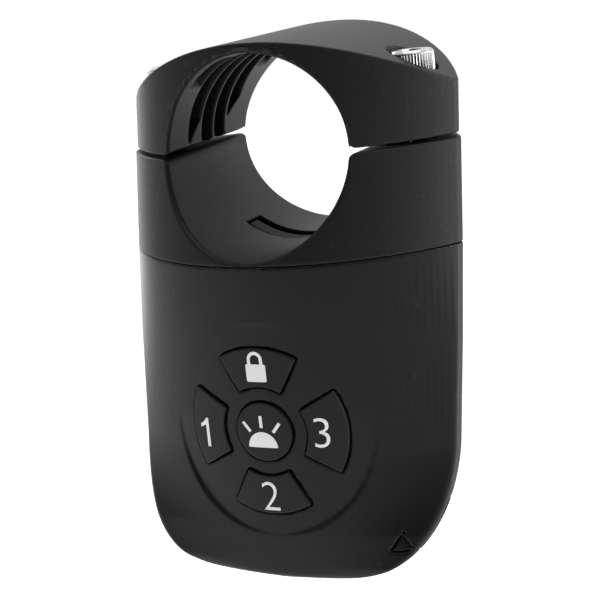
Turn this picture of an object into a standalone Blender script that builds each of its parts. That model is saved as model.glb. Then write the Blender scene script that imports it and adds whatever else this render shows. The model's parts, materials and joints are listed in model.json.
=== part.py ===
"""Keypad alarm that clamps round a tube.

The tube runs along Y through the origin, the keypad faces -Y and the clamp cap is on top (+Z).
Every horizontal section of the casing is a lens of two arcs with rounded ends. The casing leans: its
sections move towards -Y on the way down, while the split, the seam and the keypad stay square to the tube.
"""

import math

import bmesh
import bpy
from mathutils import Matrix, Vector

# Clamp
BORE_RADIUS = 0.016
EAR_WIDTH = 0.01365
SPLIT_GAP = 0.0006
CROWN_WALL = 0.0016
ARCH_RADIUS = 0.0515
SPLIT_ROUNDING = 0.0014
CAP_STEP = 0.0003

# Casing
FRONT_DEPTH = 0.0183
BACK_DEPTH = 0.0185
BACK_TAPER = 0.06
EDGE_RADIUS = 0.0022
EDGE_SETBACK = 0.0010
LEAN = math.tan(math.radians(10.9))
SEAM_WEB = 0.0005
SEAM_GAP = 0.0003
HOUSING_HEIGHT = 0.0528
SIDE_TAPER = 0.0008
CORNER_HEIGHT = 0.0210
CORNER_REACH = 0.0180
BOTTOM_CROWN = 0.0009
FRONT_ROUNDING = 0.0018
BACK_ROUNDING = 0.0130
KEEL_POWER = 3.8
WALL = 0.0026
RIM_WALL = 0.0016
RIM_DEPTH = 0.0042
GASKET_HEIGHT = 0.0010
PLUG_FLOOR = 0.0024

# Cored pockets of the cap
POCKETS_PER_SIDE = 6
POCKET_RIB = 0.0008
POCKET_WALL = 0.0015
POCKET_ROOF = 0.0020
POCKET_START = 0.0055

# Clamp screws and their inserts
SCREW_RADIUS = 0.0020
SCREW_PITCH = 0.0007
SCREW_HEAD_RADIUS = 0.0035
SCREW_HEAD_HEIGHT = 0.0040
SCREW_LENGTH = 0.0200
HEX_RADIUS = 0.00173
HEX_DEPTH = 0.0022
COUNTERBORE_CLEARANCE = 0.0005
COUNTERBORE_SEAT = 0.0092
INSERT_RADIUS = 0.0028
INSERT_LENGTH = 0.0090
INSERT_SINK = 0.0012
INSERT_WEB = 0.0035

# Screws that hold the housing to the cradle
CASE_SCREW_RADIUS = 0.0013
CASE_SCREW_LENGTH = 0.0250
CASE_HEAD_RADIUS = 0.0022
CASE_HEAD_HEIGHT = 0.0016
CASE_HEAD_SINK = 0.0012
CASE_SCREW_INSET = 0.0091
CASE_BOSS_RADIUS = 0.0028
CASE_BOSS_LENGTH = 0.0052

# Grip strip in the bore floor
STRIP_SLOT_WIDTH = 0.0052
STRIP_WIDTH = 0.0030
STRIP_DEPTH = 0.0013
STRIP_HALF_ANGLE = math.radians(35)

# Keypad
KEYPAD_SHARE = 0.50947
CENTRE_KEY_RADIUS = 0.0049
KEY_INNER_RADIUS = 0.0075
KEY_OUTER_RADIUS = 0.0139
KEY_INNER_HALF_WIDTH = 0.0036
KEY_OUTER_HALF_WIDTH = 0.0068
KEY_GAP = 0.0004
KEY_PROUD = 0.0003
FIELD_RADIUS = 0.0178
FIELD_DEPTH = 0.0004
KEY_FLANGE = 0.0007
KEY_FLANGE_LIP = 0.0006
KEY_TRAVEL = 0.0006
STEM_RADIUS = 0.0015
MAT_THICKNESS = 0.0007
SWITCH_SIDE = 0.0045
SWITCH_HEIGHT = 0.0016
PLUNGER_RADIUS = 0.0010
PLUNGER_HEIGHT = 0.0005

# Circuit board
BOARD_THICKNESS = 0.0012
BOARD_HALF_WIDTH = 0.0180
BOARD_MARGIN = 0.0002
POST_RADIUS = 0.0020
POST_INSET = 0.0024
WIRE_SPACING = 0.0018
WIRE_RADIUS = 0.0005
BOARD_SCREW_RADIUS = 0.0009
BOARD_SCREW_HEAD = 0.0018
BOARD_SCREW_LENGTH = 0.0055
CHIP_SIDE = 0.0050
CHIP_HEIGHT = 0.0010
SENSOR_RADIUS = 0.0018
SENSOR_HEIGHT = 0.0050
COIL_RADIUS = 0.0026
COIL_HEIGHT = 0.0032

# Battery
CELL_BACK_ROOM = 0.00155
CELL_END_ROOM = 0.0243
CELL_SPACING = 0.0109
CELL_GAP = 0.0006
TRAY_WALL = 0.0008
SPRING_HEIGHT = 0.0022
SPRING_WIRE = 0.00025
CONTACT_THICKNESS = 0.0003

# Siren and its port
SIREN_RADIUS = 0.0030
SIREN_OFFSET = 0.0090
SIREN_LENGTH = 0.0068
PORT_TURN = 30.0
PORT_LEAD = 0.0013
PORT_WIDTH = 0.0070
PORT_BOTTOM = 0.0060
PORT_TOP = 0.0135
PORT_FRAME = 0.0013
PORT_DEPTH = 0.0036
PORT_SLOTS = 3
PORT_SLOT_WIDTH = 0.0010

# Clearances
CLEAR = 0.0003
FIT = 0.00015

# Segments of the round shapes
ARC_STEPS = 15
END_STEPS = 5
ROUND_STEPS = 32
SMALL_STEPS = 20
CORNER_STEPS = 8

HALF_WIDTH = BORE_RADIUS + EAR_WIDTH
COUNTERBORE_RADIUS = SCREW_HEAD_RADIUS + COUNTERBORE_CLEARANCE
CELL_LENGTH = HOUSING_HEIGHT - CELL_END_ROOM
SEAM_Z = -(BORE_RADIUS + SEAM_WEB)
BOTTOM_Z = SEAM_Z - HOUSING_HEIGHT
KEYPAD_Z = SEAM_Z - KEYPAD_SHARE * HOUSING_HEIGHT
FRONT_Y = SEAM_Z * LEAN - FRONT_DEPTH
INNER_FRONT_Y = FRONT_Y + WALL
CLAMP_SCREW_X = BORE_RADIUS + INSERT_WEB + INSERT_RADIUS
CROWN_Z = BORE_RADIUS + CROWN_WALL
LEAN_DIRECTION = Vector((0.0, LEAN, 1.0)).normalized()
PLUG_Z = -(BORE_RADIUS + PLUG_FLOOR)

PARTS = None
CUTTERS = None


def clear_scene():
    for obj in list(bpy.data.objects):
        bpy.data.objects.remove(obj, do_unlink=True)


def new_collection(name):
    collection = bpy.data.collections.new(name)
    bpy.context.scene.collection.children.link(collection)
    return collection


def new_material(name, colour, roughness, metallic=0.0):
    material = bpy.data.materials.new(name)
    material.use_nodes = True
    shader = material.node_tree.nodes["Principled BSDF"]
    shader.inputs["Base Color"].default_value = (*colour, 1.0)
    shader.inputs["Roughness"].default_value = roughness
    shader.inputs["Metallic"].default_value = metallic
    return material


# ---- Meshes -----------------------------------------------------------------------------------------


def to_object(name, bm, collection, origin=(0.0, 0.0, 0.0), smooth=True):
    """An object from a bmesh in world coordinates, with its own origin at the given point."""
    bmesh.ops.remove_doubles(bm, verts=bm.verts, dist=1e-7)
    bmesh.ops.recalc_face_normals(bm, faces=bm.faces)
    bmesh.ops.translate(bm, verts=bm.verts, vec=-Vector(origin))
    mesh = bpy.data.meshes.new(name)
    bm.to_mesh(mesh)
    bm.free()
    obj = bpy.data.objects.new(name, mesh)
    obj.location = origin
    collection.objects.link(obj)
    if smooth:
        mesh.shade_smooth()
        mesh.set_sharp_from_angle(angle=math.radians(35))
    return obj


def part(name, bm, material, origin=(0.0, 0.0, 0.0)):
    obj = to_object(name, bm, PARTS, origin)
    obj.data.materials.append(material)
    return obj


def cutter(name, bm):
    obj = to_object(name, bm, CUTTERS, smooth=False)
    obj.hide_render = True
    obj.display_type = "WIRE"
    return obj


def combine(obj, other, operation="DIFFERENCE"):
    modifier = obj.modifiers.new(f"{operation.title()} {other.name}", "BOOLEAN")
    modifier.operation = operation
    modifier.object = other
    modifier.solver = "EXACT"


def add_loft(bm, rings, bent=False):
    """A closed solid through rings that all have the same number of points. bent is for unlike rings."""
    levels = [[bm.verts.new(point) for point in ring] for ring in rings]
    count = len(levels[0])
    for lower, upper in zip(levels, levels[1:]):
        for i in range(count):
            j = (i + 1) % count
            quad = bm.faces.new((lower[i], lower[j], upper[j], upper[i]))
            if bent:
                bmesh.ops.triangulate(bm, faces=[quad])
    bm.faces.new(list(reversed(levels[0])))
    bm.faces.new(levels[-1])


def add_prism(bm, outline, start, end, axis="Y"):
    """A solid between two planes square to Y (outline in x, z) or to Z (outline in x, y)."""
    if axis == "Y":
        rings = [[(a, level, b) for a, b in outline] for level in (start, end)]
    else:
        rings = [[(a, b, level) for a, b in outline] for level in (start, end)]
    add_loft(bm, rings)


def add_round(bm, start, end, radius, end_radius=None, steps=ROUND_STEPS):
    """A cylinder or cone from one point to another."""
    start, end = Vector(start), Vector(end)
    along = end - start
    turn = along.to_track_quat("Z", "Y").to_matrix().to_4x4()
    place = Matrix.Translation((start + end) / 2) @ turn
    bmesh.ops.create_cone(
        bm,
        cap_ends=True,
        segments=steps,
        radius1=radius,
        radius2=radius if end_radius is None else end_radius,
        depth=along.length,
        matrix=place,
    )


def add_box(bm, low, high):
    low, high = Vector(low), Vector(high)
    place = Matrix.Translation((low + high) / 2) @ Matrix.Diagonal((*(high - low), 1.0))
    bmesh.ops.create_cube(bm, size=1.0, matrix=place)


def round_solid(start, end, radius, end_radius=None, steps=ROUND_STEPS):
    bm = bmesh.new()
    add_round(bm, start, end, radius, end_radius, steps)
    return bm


def box_solid(low, high):
    bm = bmesh.new()
    add_box(bm, low, high)
    return bm


def turned_solid(name, material, profile, place, collection=None, steps=ROUND_STEPS):
    """A Screw modifier turns the profile, given as (radius, height) from top to bottom, round local Z."""
    mesh = bpy.data.meshes.new(name)
    points = [(radius, 0.0, height) for radius, height in profile]
    mesh.from_pydata(points, [(i, i + 1) for i in range(len(points) - 1)], [])
    obj = bpy.data.objects.new(name, mesh)
    (collection or PARTS).objects.link(obj)
    obj.matrix_world = place
    turn = obj.modifiers.new("Turn", "SCREW")
    turn.steps = steps
    turn.render_steps = steps
    turn.use_merge_vertices = True
    turn.merge_threshold = 1e-6
    turn.use_smooth_shade = True
    if material:
        mesh.materials.append(material)
    return obj


def arc(centre, radius, start, end, steps):
    """Points on an arc, both ends included. Angles are in radians, counter-clockwise from the first axis."""
    points = []
    for i in range(steps + 1):
        angle = start + (end - start) * i / steps
        points.append((centre[0] + radius * math.cos(angle), centre[1] + radius * math.sin(angle)))
    return points


# ---- Casing sections --------------------------------------------------------------------------------


def lens_arcs(half_width, y_front, y_back, y_end, end_radius):
    """(radius, centre y) of the front arc and of the back arc, both tangent to the round ends."""
    reach = half_width - end_radius
    arcs = []
    for depth in (y_end - y_front, y_back - y_end):
        radius = (reach**2 + depth**2 - end_radius**2) / (2 * (depth - end_radius))
        arcs.append(radius)
    return (arcs[0], y_front + arcs[0]), (arcs[1], y_back - arcs[1])


def lens_outline(half_width, y_front, y_back, y_end, end_radius):
    """The section's outline in x, y, counter-clockwise from above."""
    front_arc, back_arc = lens_arcs(half_width, y_front, y_back, y_end, end_radius)
    front_radius, front_y = front_arc
    back_radius, back_y = back_arc
    reach = half_width - end_radius
    front_angle = math.atan2(reach, front_y - y_end)
    back_angle = math.atan2(reach, y_end - back_y)
    down = -math.pi / 2
    up = math.pi / 2
    outline = arc((0, front_y), front_radius, down - front_angle, down + front_angle, ARC_STEPS)[:-1]
    outline += arc((reach, y_end), end_radius, down + front_angle, up - back_angle, END_STEPS)[:-1]
    outline += arc((0, back_y), back_radius, up - back_angle, up + back_angle, ARC_STEPS)[:-1]
    outline += arc((-reach, y_end), end_radius, up + back_angle, 3 * up - front_angle, END_STEPS)[:-1]
    return outline


def clamp_section(z, inset):
    """The leaning section of the clamp at height z, moved inwards by inset."""
    shift = z * LEAN
    end_radius = max(EDGE_RADIUS - inset, 0.0008)
    return lens_outline(
        HALF_WIDTH - inset,
        shift - FRONT_DEPTH + inset,
        shift + BACK_DEPTH - inset,
        shift - EDGE_SETBACK,
        end_radius,
    )


def section_half_width(y, z, inset):
    """Half the width of the clamp's section at height z and depth y."""
    shift = z * LEAN
    (front_radius, front_y), (back_radius, back_y) = lens_arcs(
        HALF_WIDTH - inset,
        shift - FRONT_DEPTH + inset,
        shift + BACK_DEPTH - inset,
        shift - EDGE_SETBACK,
        0.0008,
    )
    if y < shift - EDGE_SETBACK:
        return math.sqrt(max(front_radius**2 - (front_y - y) ** 2, 0.0))
    return math.sqrt(max(back_radius**2 - (y - back_y) ** 2, 0.0))


def section_depth(x, z, inset, front):
    """The y of the clamp's front or back wall at height z and width x."""
    shift = z * LEAN
    (front_radius, front_y), (back_radius, back_y) = lens_arcs(
        HALF_WIDTH - inset,
        shift - FRONT_DEPTH + inset,
        shift + BACK_DEPTH - inset,
        shift - EDGE_SETBACK,
        0.0008,
    )
    if front:
        return front_y - math.sqrt(front_radius**2 - x**2)
    return back_y + math.sqrt(back_radius**2 - x**2)


def bezier(points, t):
    a, b, c, d = points
    s = 1 - t
    weights = (s**3, 3 * s * s * t, 3 * s * t * t, t**3)
    return tuple(sum(w * p[i] for w, p in zip(weights, (a, b, c, d))) for i in (0, 1))


def housing_side():
    """(half width, height above the bottom) down one side: a slow taper, then the big bottom corner."""
    shoulder = HALF_WIDTH - SIDE_TAPER
    corner = (
        (shoulder, CORNER_HEIGHT),
        (shoulder - SIDE_TAPER, CORNER_HEIGHT * 0.43),
        (shoulder - CORNER_REACH * 0.31, BOTTOM_CROWN * 2.4),
        (shoulder - CORNER_REACH, BOTTOM_CROWN),
    )
    side = [(HALF_WIDTH, HOUSING_HEIGHT), (HALF_WIDTH - SIDE_TAPER * 0.3, HOUSING_HEIGHT * 0.72)]
    side += [bezier(corner, i / CORNER_STEPS) for i in range(CORNER_STEPS + 1)]
    side.append((shoulder - CORNER_REACH * 1.4, 0.0))
    return side


def half_width_at(z):
    """The housing's half width at height z."""
    height = min(max(z - BOTTOM_Z, 0.0), HOUSING_HEIGHT)
    side = housing_side()
    for (upper_w, upper_h), (lower_w, lower_h) in zip(side, side[1:]):
        if lower_h <= height:
            return lower_w + (upper_w - lower_w) * (height - lower_h) / (upper_h - lower_h)
    return side[-1][0]


def rounded_in(height, rounding):
    """How far a bottom edge's rounding pulls a wall in at this height."""
    if height >= rounding:
        return 0.0
    return rounding - math.sqrt(rounding**2 - (rounding - height) ** 2)


def housing_section(z, inset):
    """(half width, front y, back y, end y, end radius) of the housing's section at height z.

    The line of the round ends leans with the casing and swings to the front round the bottom corner."""
    height = max(z - BOTTOM_Z, 0.0)
    half_width = half_width_at(z)
    y_front = FRONT_Y + rounded_in(height, FRONT_ROUNDING)
    y_back = z * LEAN + BACK_DEPTH + BACK_TAPER * (z - SEAM_Z) - rounded_in(height, BACK_ROUNDING)
    swing = min(half_width / (HALF_WIDTH - SIDE_TAPER), 1.0) ** KEEL_POWER
    y_end = FRONT_Y + (z * LEAN - EDGE_SETBACK - FRONT_Y) * swing
    y_end = max(y_end, y_front + 0.0016)
    end_radius = min(EDGE_RADIUS, 0.4 * (y_end - y_front))
    end_radius = max(end_radius - inset, 0.0006)
    y_end = max(y_end, y_front + inset + 0.0012)
    return half_width - inset, y_front + inset, y_back - inset, y_end, end_radius


def housing_rings(inset, top):
    """Lens sections of the housing from its bottom to its top, all moved inwards by inset."""
    rings = []
    for _, height in reversed(housing_side()):
        level = BOTTOM_Z + height
        z = level + inset * (1 - height / HOUSING_HEIGHT)
        rings.append([(x, y, z) for x, y in lens_outline(*housing_section(level, inset))])
    if top < rings[-1][0][2]:
        return rings[:-1] + [[(x, y, top) for x, y, _ in rings[-1]]]
    return rings + [[(x, y, top) for x, y, _ in rings[-1]]]


# ---- Clamp ------------------------------------------------------------------------------------------


def bore_outline(side):
    """The bore and everything beyond the split, with rounded corners: side 1 for the cap, -1 the cradle."""
    gap = SPLIT_GAP / 2
    level = gap + SPLIT_ROUNDING
    corner_x = math.sqrt((BORE_RADIUS + SPLIT_ROUNDING) ** 2 - level**2)
    corner_angle = math.atan2(level, corner_x)
    far = 2 * HALF_WIDTH
    outline = [(far, gap)]
    outline += arc((corner_x, level), SPLIT_ROUNDING, -math.pi / 2, corner_angle - math.pi, 5)
    outline += arc((0, 0), BORE_RADIUS, corner_angle, math.pi - corner_angle, ROUND_STEPS)[1:-1]
    outline += arc((-corner_x, level), SPLIT_ROUNDING, -corner_angle, -math.pi / 2, 5)
    outline += [(-far, gap), (-far, -far), (far, -far)]
    return [(x, side * z) for x, z in outline]


def arch_z(x, drop=0.0):
    radius = ARCH_RADIUS - drop
    return CROWN_Z - ARCH_RADIUS + math.sqrt(radius**2 - x**2)


def arch_solid():
    half_angle = math.asin(min(0.95, 1.15 * HALF_WIDTH / ARCH_RADIUS))
    up = math.pi / 2
    outline = arc((0, CROWN_Z - ARCH_RADIUS), ARCH_RADIUS, up - half_angle, up + half_angle, 28)
    outline += [(outline[-1][0], -HALF_WIDTH), (outline[0][0], -HALF_WIDTH)]
    bm = bmesh.new()
    add_prism(bm, outline, -3 * FRONT_DEPTH, 3 * BACK_DEPTH)
    return bm


def pocket_outline(side, outer_x):
    """One cored pocket in x, z: open to the bore below and roofed parallel to the arch."""
    steps = 6
    xs = [POCKET_START + (outer_x - POCKET_START) * i / steps for i in range(steps + 1)]
    outline = [(POCKET_START, 0.0), (outer_x, 0.0)]
    outline += [(x, arch_z(x, POCKET_ROOF)) for x in reversed(xs)]
    return [(side * x, z) for x, z in outline]


def pockets_solid():
    bm = bmesh.new()
    wall = POCKET_WALL + CAP_STEP
    reach = 0.7 * BORE_RADIUS
    front = section_depth(reach, CROWN_Z, wall, True)
    back = section_depth(reach, 0.0, wall, False)
    pitch = (back - front + POCKET_RIB) / POCKETS_PER_SIDE
    boss_x = CLAMP_SCREW_X - SCREW_RADIUS - POCKET_WALL
    for i in range(POCKETS_PER_SIDE):
        ends = (front + i * pitch, front + (i + 1) * pitch - POCKET_RIB)
        outer_x = min(section_half_width(y, z, wall) for y in ends for z in (0.0, BORE_RADIUS))
        for side in (-1, 1):
            outline = pocket_outline(side, min(outer_x, boss_x))
            add_loft(bm, [[(x, y, z) for x, z in outline] for y in ends])
    return bm


def make_cap(material):
    bm = bmesh.new()
    low, high = -0.001, CROWN_Z + 0.001
    add_loft(bm, [[(x, y, z) for x, y in clamp_section(z, CAP_STEP)] for z in (low, high)])
    cap = part("clamp_cap", bm, material)
    combine(cap, cutter("arch", arch_solid()), "INTERSECT")
    bore = bmesh.new()
    add_prism(bore, bore_outline(1), -3 * FRONT_DEPTH, 3 * BACK_DEPTH)
    combine(cap, cutter("bore_above", bore))
    combine(cap, cutter("cap_pockets", pockets_solid()))
    for side, word in ((1, "right"), (-1, "left")):
        x = side * CLAMP_SCREW_X
        hole = round_solid((x, 0, -0.002), (x, 0, CROWN_Z), SCREW_RADIUS + CLEAR, steps=SMALL_STEPS)
        combine(cap, cutter(f"screw_hole_{word}", hole))
        seat = round_solid((x, 0, COUNTERBORE_SEAT), (x, 0, 2 * CROWN_Z), COUNTERBORE_RADIUS)
        combine(cap, cutter(f"counterbore_{word}", seat))
    return cap


def make_clamp_screw(word, side, material):
    """Socket head cap screw, its origin on its axis at the counterbore's seat."""
    x = side * CLAMP_SCREW_X
    seat = COUNTERBORE_SEAT + CLEAR
    chamfer = 0.0003
    profile = [
        (0.0, SCREW_HEAD_HEIGHT),
        (SCREW_HEAD_RADIUS - chamfer, SCREW_HEAD_HEIGHT),
        (SCREW_HEAD_RADIUS, SCREW_HEAD_HEIGHT - chamfer),
        (SCREW_HEAD_RADIUS, 0.0),
        (SCREW_RADIUS, 0.0),
        (SCREW_RADIUS, -SCREW_LENGTH + chamfer),
        (SCREW_RADIUS - chamfer, -SCREW_LENGTH),
        (0.0, -SCREW_LENGTH),
    ]
    place = Matrix.Translation((x, 0, seat))
    screw = turned_solid(f"clamp_screw_{word}", material, profile, place, steps=24)
    top = seat + SCREW_HEAD_HEIGHT
    socket = round_solid((x, 0, top - HEX_DEPTH), (x, 0, top + 0.001), HEX_RADIUS, steps=6)
    combine(screw, cutter(f"hex_socket_{word}", socket))
    return screw


def make_insert(word, side, material):
    """Threaded brass insert: a flanged sleeve round the clamp screw, pressed into the cradle."""
    bore = SCREW_RADIUS + FIT
    flat = INSERT_RADIUS - 0.0002
    profile = [
        (bore, 0.0),
        (INSERT_RADIUS, 0.0),
        (INSERT_RADIUS, -INSERT_LENGTH * 0.4),
        (flat, -INSERT_LENGTH * 0.45),
        (flat, -INSERT_LENGTH * 0.55),
        (INSERT_RADIUS, -INSERT_LENGTH * 0.6),
        (INSERT_RADIUS, -INSERT_LENGTH),
        (bore, -INSERT_LENGTH),
        (bore, 0.0),
    ]
    place = Matrix.Translation((side * CLAMP_SCREW_X, 0, -INSERT_SINK))
    return turned_solid(f"thread_insert_{word}", material, profile, place, steps=24)


def case_screw_places():
    """(name, head's top point) of the two screws that hold the housing, ahead of the clamp screws."""
    x = HALF_WIDTH - CASE_SCREW_INSET
    z = -SPLIT_GAP / 2 - CASE_HEAD_SINK
    y = section_depth(x, z, WALL + CASE_HEAD_RADIUS + 2 * CLEAR, True)
    return [("right", Vector((x, y, z))), ("left", Vector((-x, y, z)))]


def make_case_screw(name, top, material):
    chamfer = 0.0006
    profile = [
        (0.0, 0.0),
        (CASE_HEAD_RADIUS, 0.0),
        (CASE_HEAD_RADIUS, -CASE_HEAD_HEIGHT + chamfer),
        (CASE_SCREW_RADIUS, -CASE_HEAD_HEIGHT),
        (CASE_SCREW_RADIUS, -CASE_SCREW_LENGTH + chamfer),
        (0.0, -CASE_SCREW_LENGTH),
    ]
    turn = LEAN_DIRECTION.to_track_quat("Z", "Y").to_matrix().to_4x4()
    place = Matrix.Translation(top) @ turn
    screw = turned_solid(f"housing_screw_{name}", material, profile, place, steps=16)
    combine(screw, cutter(f"cross_{name}", cross_solid(place)))
    return screw


def cross_solid(place):
    """The cross recess of a countersunk head, from 0.8 mm deep to just above the head."""
    long, short = CASE_HEAD_RADIUS * 0.6, CASE_HEAD_RADIUS * 0.11
    outline = []
    for quarter in range(4):
        for x, y in ((long, -short), (long, short), (short, short)):
            for _ in range(quarter):
                x, y = -y, x
            outline.append((x, y))
    bm = bmesh.new()
    add_prism(bm, outline, -0.0008, 0.001, axis="Z")
    bmesh.ops.transform(bm, matrix=place, verts=bm.verts)
    return bm


def make_cradle(material):
    bm = bmesh.new()
    low, high = SEAM_Z + SEAM_GAP / 2, 0.001
    add_loft(bm, [[(x, y, z) for x, y in clamp_section(z, 0.0)] for z in (low, high)])
    cradle = part("cradle", bm, material)
    plug = bmesh.new()
    inset = RIM_WALL + CLEAR
    add_loft(plug, [[(x, y, z) for x, y in clamp_section(z, inset)] for z in (PLUG_Z, -0.004)])
    combine(cradle, cutter("cradle_plug", plug), "UNION")
    core = bmesh.new()
    core_top = -(INSERT_SINK + INSERT_LENGTH + 0.0006)
    levels = (PLUG_Z - 0.002, core_top)
    add_loft(core, [[(x, y, z) for x, y in clamp_section(z, inset + WALL)] for z in levels])
    core = cutter("cradle_core", core)
    tunnel = round_solid((0, -2 * HALF_WIDTH, 0), (0, 2 * HALF_WIDTH, 0), BORE_RADIUS + PLUG_FLOOR + 0.0003)
    combine(core, cutter("bore_wall", tunnel))
    for name, top in case_screw_places():
        column = round_solid(top - 0.05 * LEAN_DIRECTION, top, CASE_BOSS_RADIUS, steps=SMALL_STEPS)
        combine(core, cutter(f"cradle_column_{name}", column))
    combine(cradle, core)
    bore = bmesh.new()
    add_prism(bore, bore_outline(-1), -3 * FRONT_DEPTH, 3 * BACK_DEPTH)
    combine(cradle, cutter("bore_below", bore))
    for side, word in ((1, "right"), (-1, "left")):
        x = side * CLAMP_SCREW_X
        pilot = round_solid((x, 0, -SCREW_LENGTH), (x, 0, 0.002), SCREW_RADIUS + CLEAR, steps=SMALL_STEPS)
        combine(cradle, cutter(f"screw_pilot_{word}", pilot))
        seat = round_solid(
            (x, 0, -INSERT_SINK - INSERT_LENGTH - FIT), (x, 0, 0.002), INSERT_RADIUS + FIT, steps=24
        )
        combine(cradle, cutter(f"insert_seat_{word}", seat))
    for name, top in case_screw_places():
        head = round_solid(
            top - (CASE_HEAD_HEIGHT + FIT) * LEAN_DIRECTION,
            top + 0.004 * LEAN_DIRECTION,
            CASE_HEAD_RADIUS + FIT,
            steps=SMALL_STEPS,
        )
        combine(cradle, cutter(f"case_head_{name}", head))
        shank = round_solid(
            top - 0.04 * LEAN_DIRECTION, top, CASE_SCREW_RADIUS + FIT, steps=SMALL_STEPS
        )
        combine(cradle, cutter(f"case_shank_{name}", shank))
    combine(cradle, cutter("strip_slot", strip_solid(STRIP_SLOT_WIDTH, 0.0, BORE_RADIUS - 0.002)))
    return cradle


def strip_solid(width, clearance, inner_radius):
    """A band of the bore's floor at mid depth."""
    outer = BORE_RADIUS + STRIP_DEPTH + clearance
    spread = STRIP_HALF_ANGLE + clearance / BORE_RADIUS
    down = -math.pi / 2
    outline = arc((0, 0), outer, down - spread, down + spread, 14)
    outline += arc((0, 0), inner_radius, down + spread, down - spread, 14)
    bm = bmesh.new()
    add_prism(bm, outline, -width / 2, width / 2)
    return bm


def make_grip_strip(material):
    bm = strip_solid(STRIP_WIDTH, -CLEAR, BORE_RADIUS + STRIP_DEPTH * 0.3)
    return part("grip_strip", bm, material)


# ---- Housing ----------------------------------------------------------------------------------------


def key_outline(quarter, grow=0.0):
    """Outline in x, z about the keypad's centre: quarter 0 up, 1 left, 2 down, 3 right, None the middle."""
    if quarter is None:
        return arc((0, 0), CENTRE_KEY_RADIUS + grow, 0, 2 * math.pi, 24)[:-1]
    inner, outer = KEY_INNER_RADIUS - grow, KEY_OUTER_RADIUS + grow
    inner_half = math.asin((KEY_INNER_HALF_WIDTH + grow) / inner)
    outer_half = math.asin((KEY_OUTER_HALF_WIDTH + grow) / outer)
    up = math.pi / 2
    outline = arc((0, 0), outer, up - outer_half, up + outer_half, 8)
    outline += arc((0, 0), inner, up + inner_half, up - inner_half, 5)
    turn = quarter * math.pi / 2
    cos, sin = math.cos(turn), math.sin(turn)
    return [(x * cos - z * sin, x * sin + z * cos) for x, z in outline]


KEYS = {
    "lock_key": 0,
    "key_one": 1,
    "key_two": 2,
    "key_three": 3,
    "alarm_key": None,
}


def front_y(x, z, inset=0.0):
    """The y of the housing's front surface, or of its inner surface when inset by the wall."""
    (radius, centre), _ = lens_arcs(*housing_section(z, inset))
    return centre - math.sqrt(radius**2 - x**2)


def key_extent(quarter):
    """The farthest |x| of a key and its flange."""
    return max(abs(x) for x, _ in key_outline(quarter, KEY_FLANGE_LIP))


def flange_y(quarter):
    """The front of a key's flange, just behind the wall's inner surface."""
    reach = KEY_OUTER_RADIUS + KEY_FLANGE_LIP
    levels = (KEYPAD_Z - reach, KEYPAD_Z, KEYPAD_Z + reach)
    return max(front_y(key_extent(quarter), z, WALL) for z in levels) + CLEAR


def mat_y():
    return flange_y(1) + KEY_FLANGE + KEY_TRAVEL + CLEAR


def board_y():
    return mat_y() + MAT_THICKNESS + CLEAR + PLUNGER_HEIGHT + SWITCH_HEIGHT + CLEAR


def stem_end_y():
    return board_y() - CLEAR - SWITCH_HEIGHT - PLUNGER_HEIGHT - CLEAR / 2 - KEY_TRAVEL


def key_centre(quarter):
    """Middle of a key's face in x, z."""
    if quarter is None:
        return 0.0, KEYPAD_Z
    radius = (KEY_INNER_RADIUS + KEY_OUTER_RADIUS) / 2
    angle = math.pi / 2 * (quarter + 1)
    return radius * math.cos(angle), KEYPAD_Z + radius * math.sin(angle)


def shifted(outline):
    return [(x, z + KEYPAD_Z) for x, z in outline]


def make_key(name, quarter, material):
    """Keycap with a crowned face, a flange behind the wall and a stem over its switch."""
    x, z = key_centre(quarter)
    back = flange_y(quarter) + KEY_FLANGE
    proud_y = FRONT_Y - KEY_PROUD
    bm = bmesh.new()
    add_prism(bm, shifted(key_outline(quarter)), proud_y - 0.002, back)
    key = part(name, bm, material, (x, FRONT_Y, z))
    combine(key, key_face)
    flange = bmesh.new()
    add_prism(flange, shifted(key_outline(quarter, KEY_FLANGE_LIP)), back - KEY_FLANGE, back)
    combine(key, cutter(f"{name}_flange", flange), "UNION")
    stem = round_solid((x, back - 0.0003, z), (x, stem_end_y(), z), STEM_RADIUS, steps=SMALL_STEPS)
    combine(key, cutter(f"{name}_stem", stem), "UNION")
    return key


def ahead_of_front(name, offset):
    """Everything in front of a surface that runs parallel to the housing's front, offset behind it."""
    (radius, centre), _ = lens_arcs(*housing_section(KEYPAD_Z, 0.0))
    centre += offset
    spread = math.asin(min(0.9, 1.2 * FIELD_RADIUS / radius))
    down = -math.pi / 2
    outline = arc((0, centre), radius, down - spread, down + spread, 21)
    outline += [(outline[-1][0], FRONT_Y - 0.02), (outline[0][0], FRONT_Y - 0.02)]
    reach = 1.5 * FIELD_RADIUS
    bm = bmesh.new()
    add_prism(bm, outline, KEYPAD_Z - reach, KEYPAD_Z + reach, axis="Z")
    return cutter(name, bm)


def board_span():
    """Lowest and highest z of the circuit board."""
    reach = KEY_OUTER_RADIUS + KEY_FLANGE_LIP
    return KEYPAD_Z - reach, KEYPAD_Z + reach


def post_places():
    """The board's four posts, kept where a screw's head clears the back wall."""
    low, high = board_span()
    head_y = board_y() + BOARD_THICKNESS + BOARD_SCREW_HEAD
    places = []
    for side in (-1, 1):
        for z in (high - POST_INSET, low + POST_INSET):
            _, (radius, centre) = lens_arcs(*housing_section(z - BOARD_SCREW_HEAD, WALL))
            room = math.sqrt(radius**2 - max(head_y - centre, 0.0) ** 2) - BOARD_SCREW_HEAD - CLEAR
            places.append((side * min(BOARD_HALF_WIDTH - POST_INSET, room), z))
    return places


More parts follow.
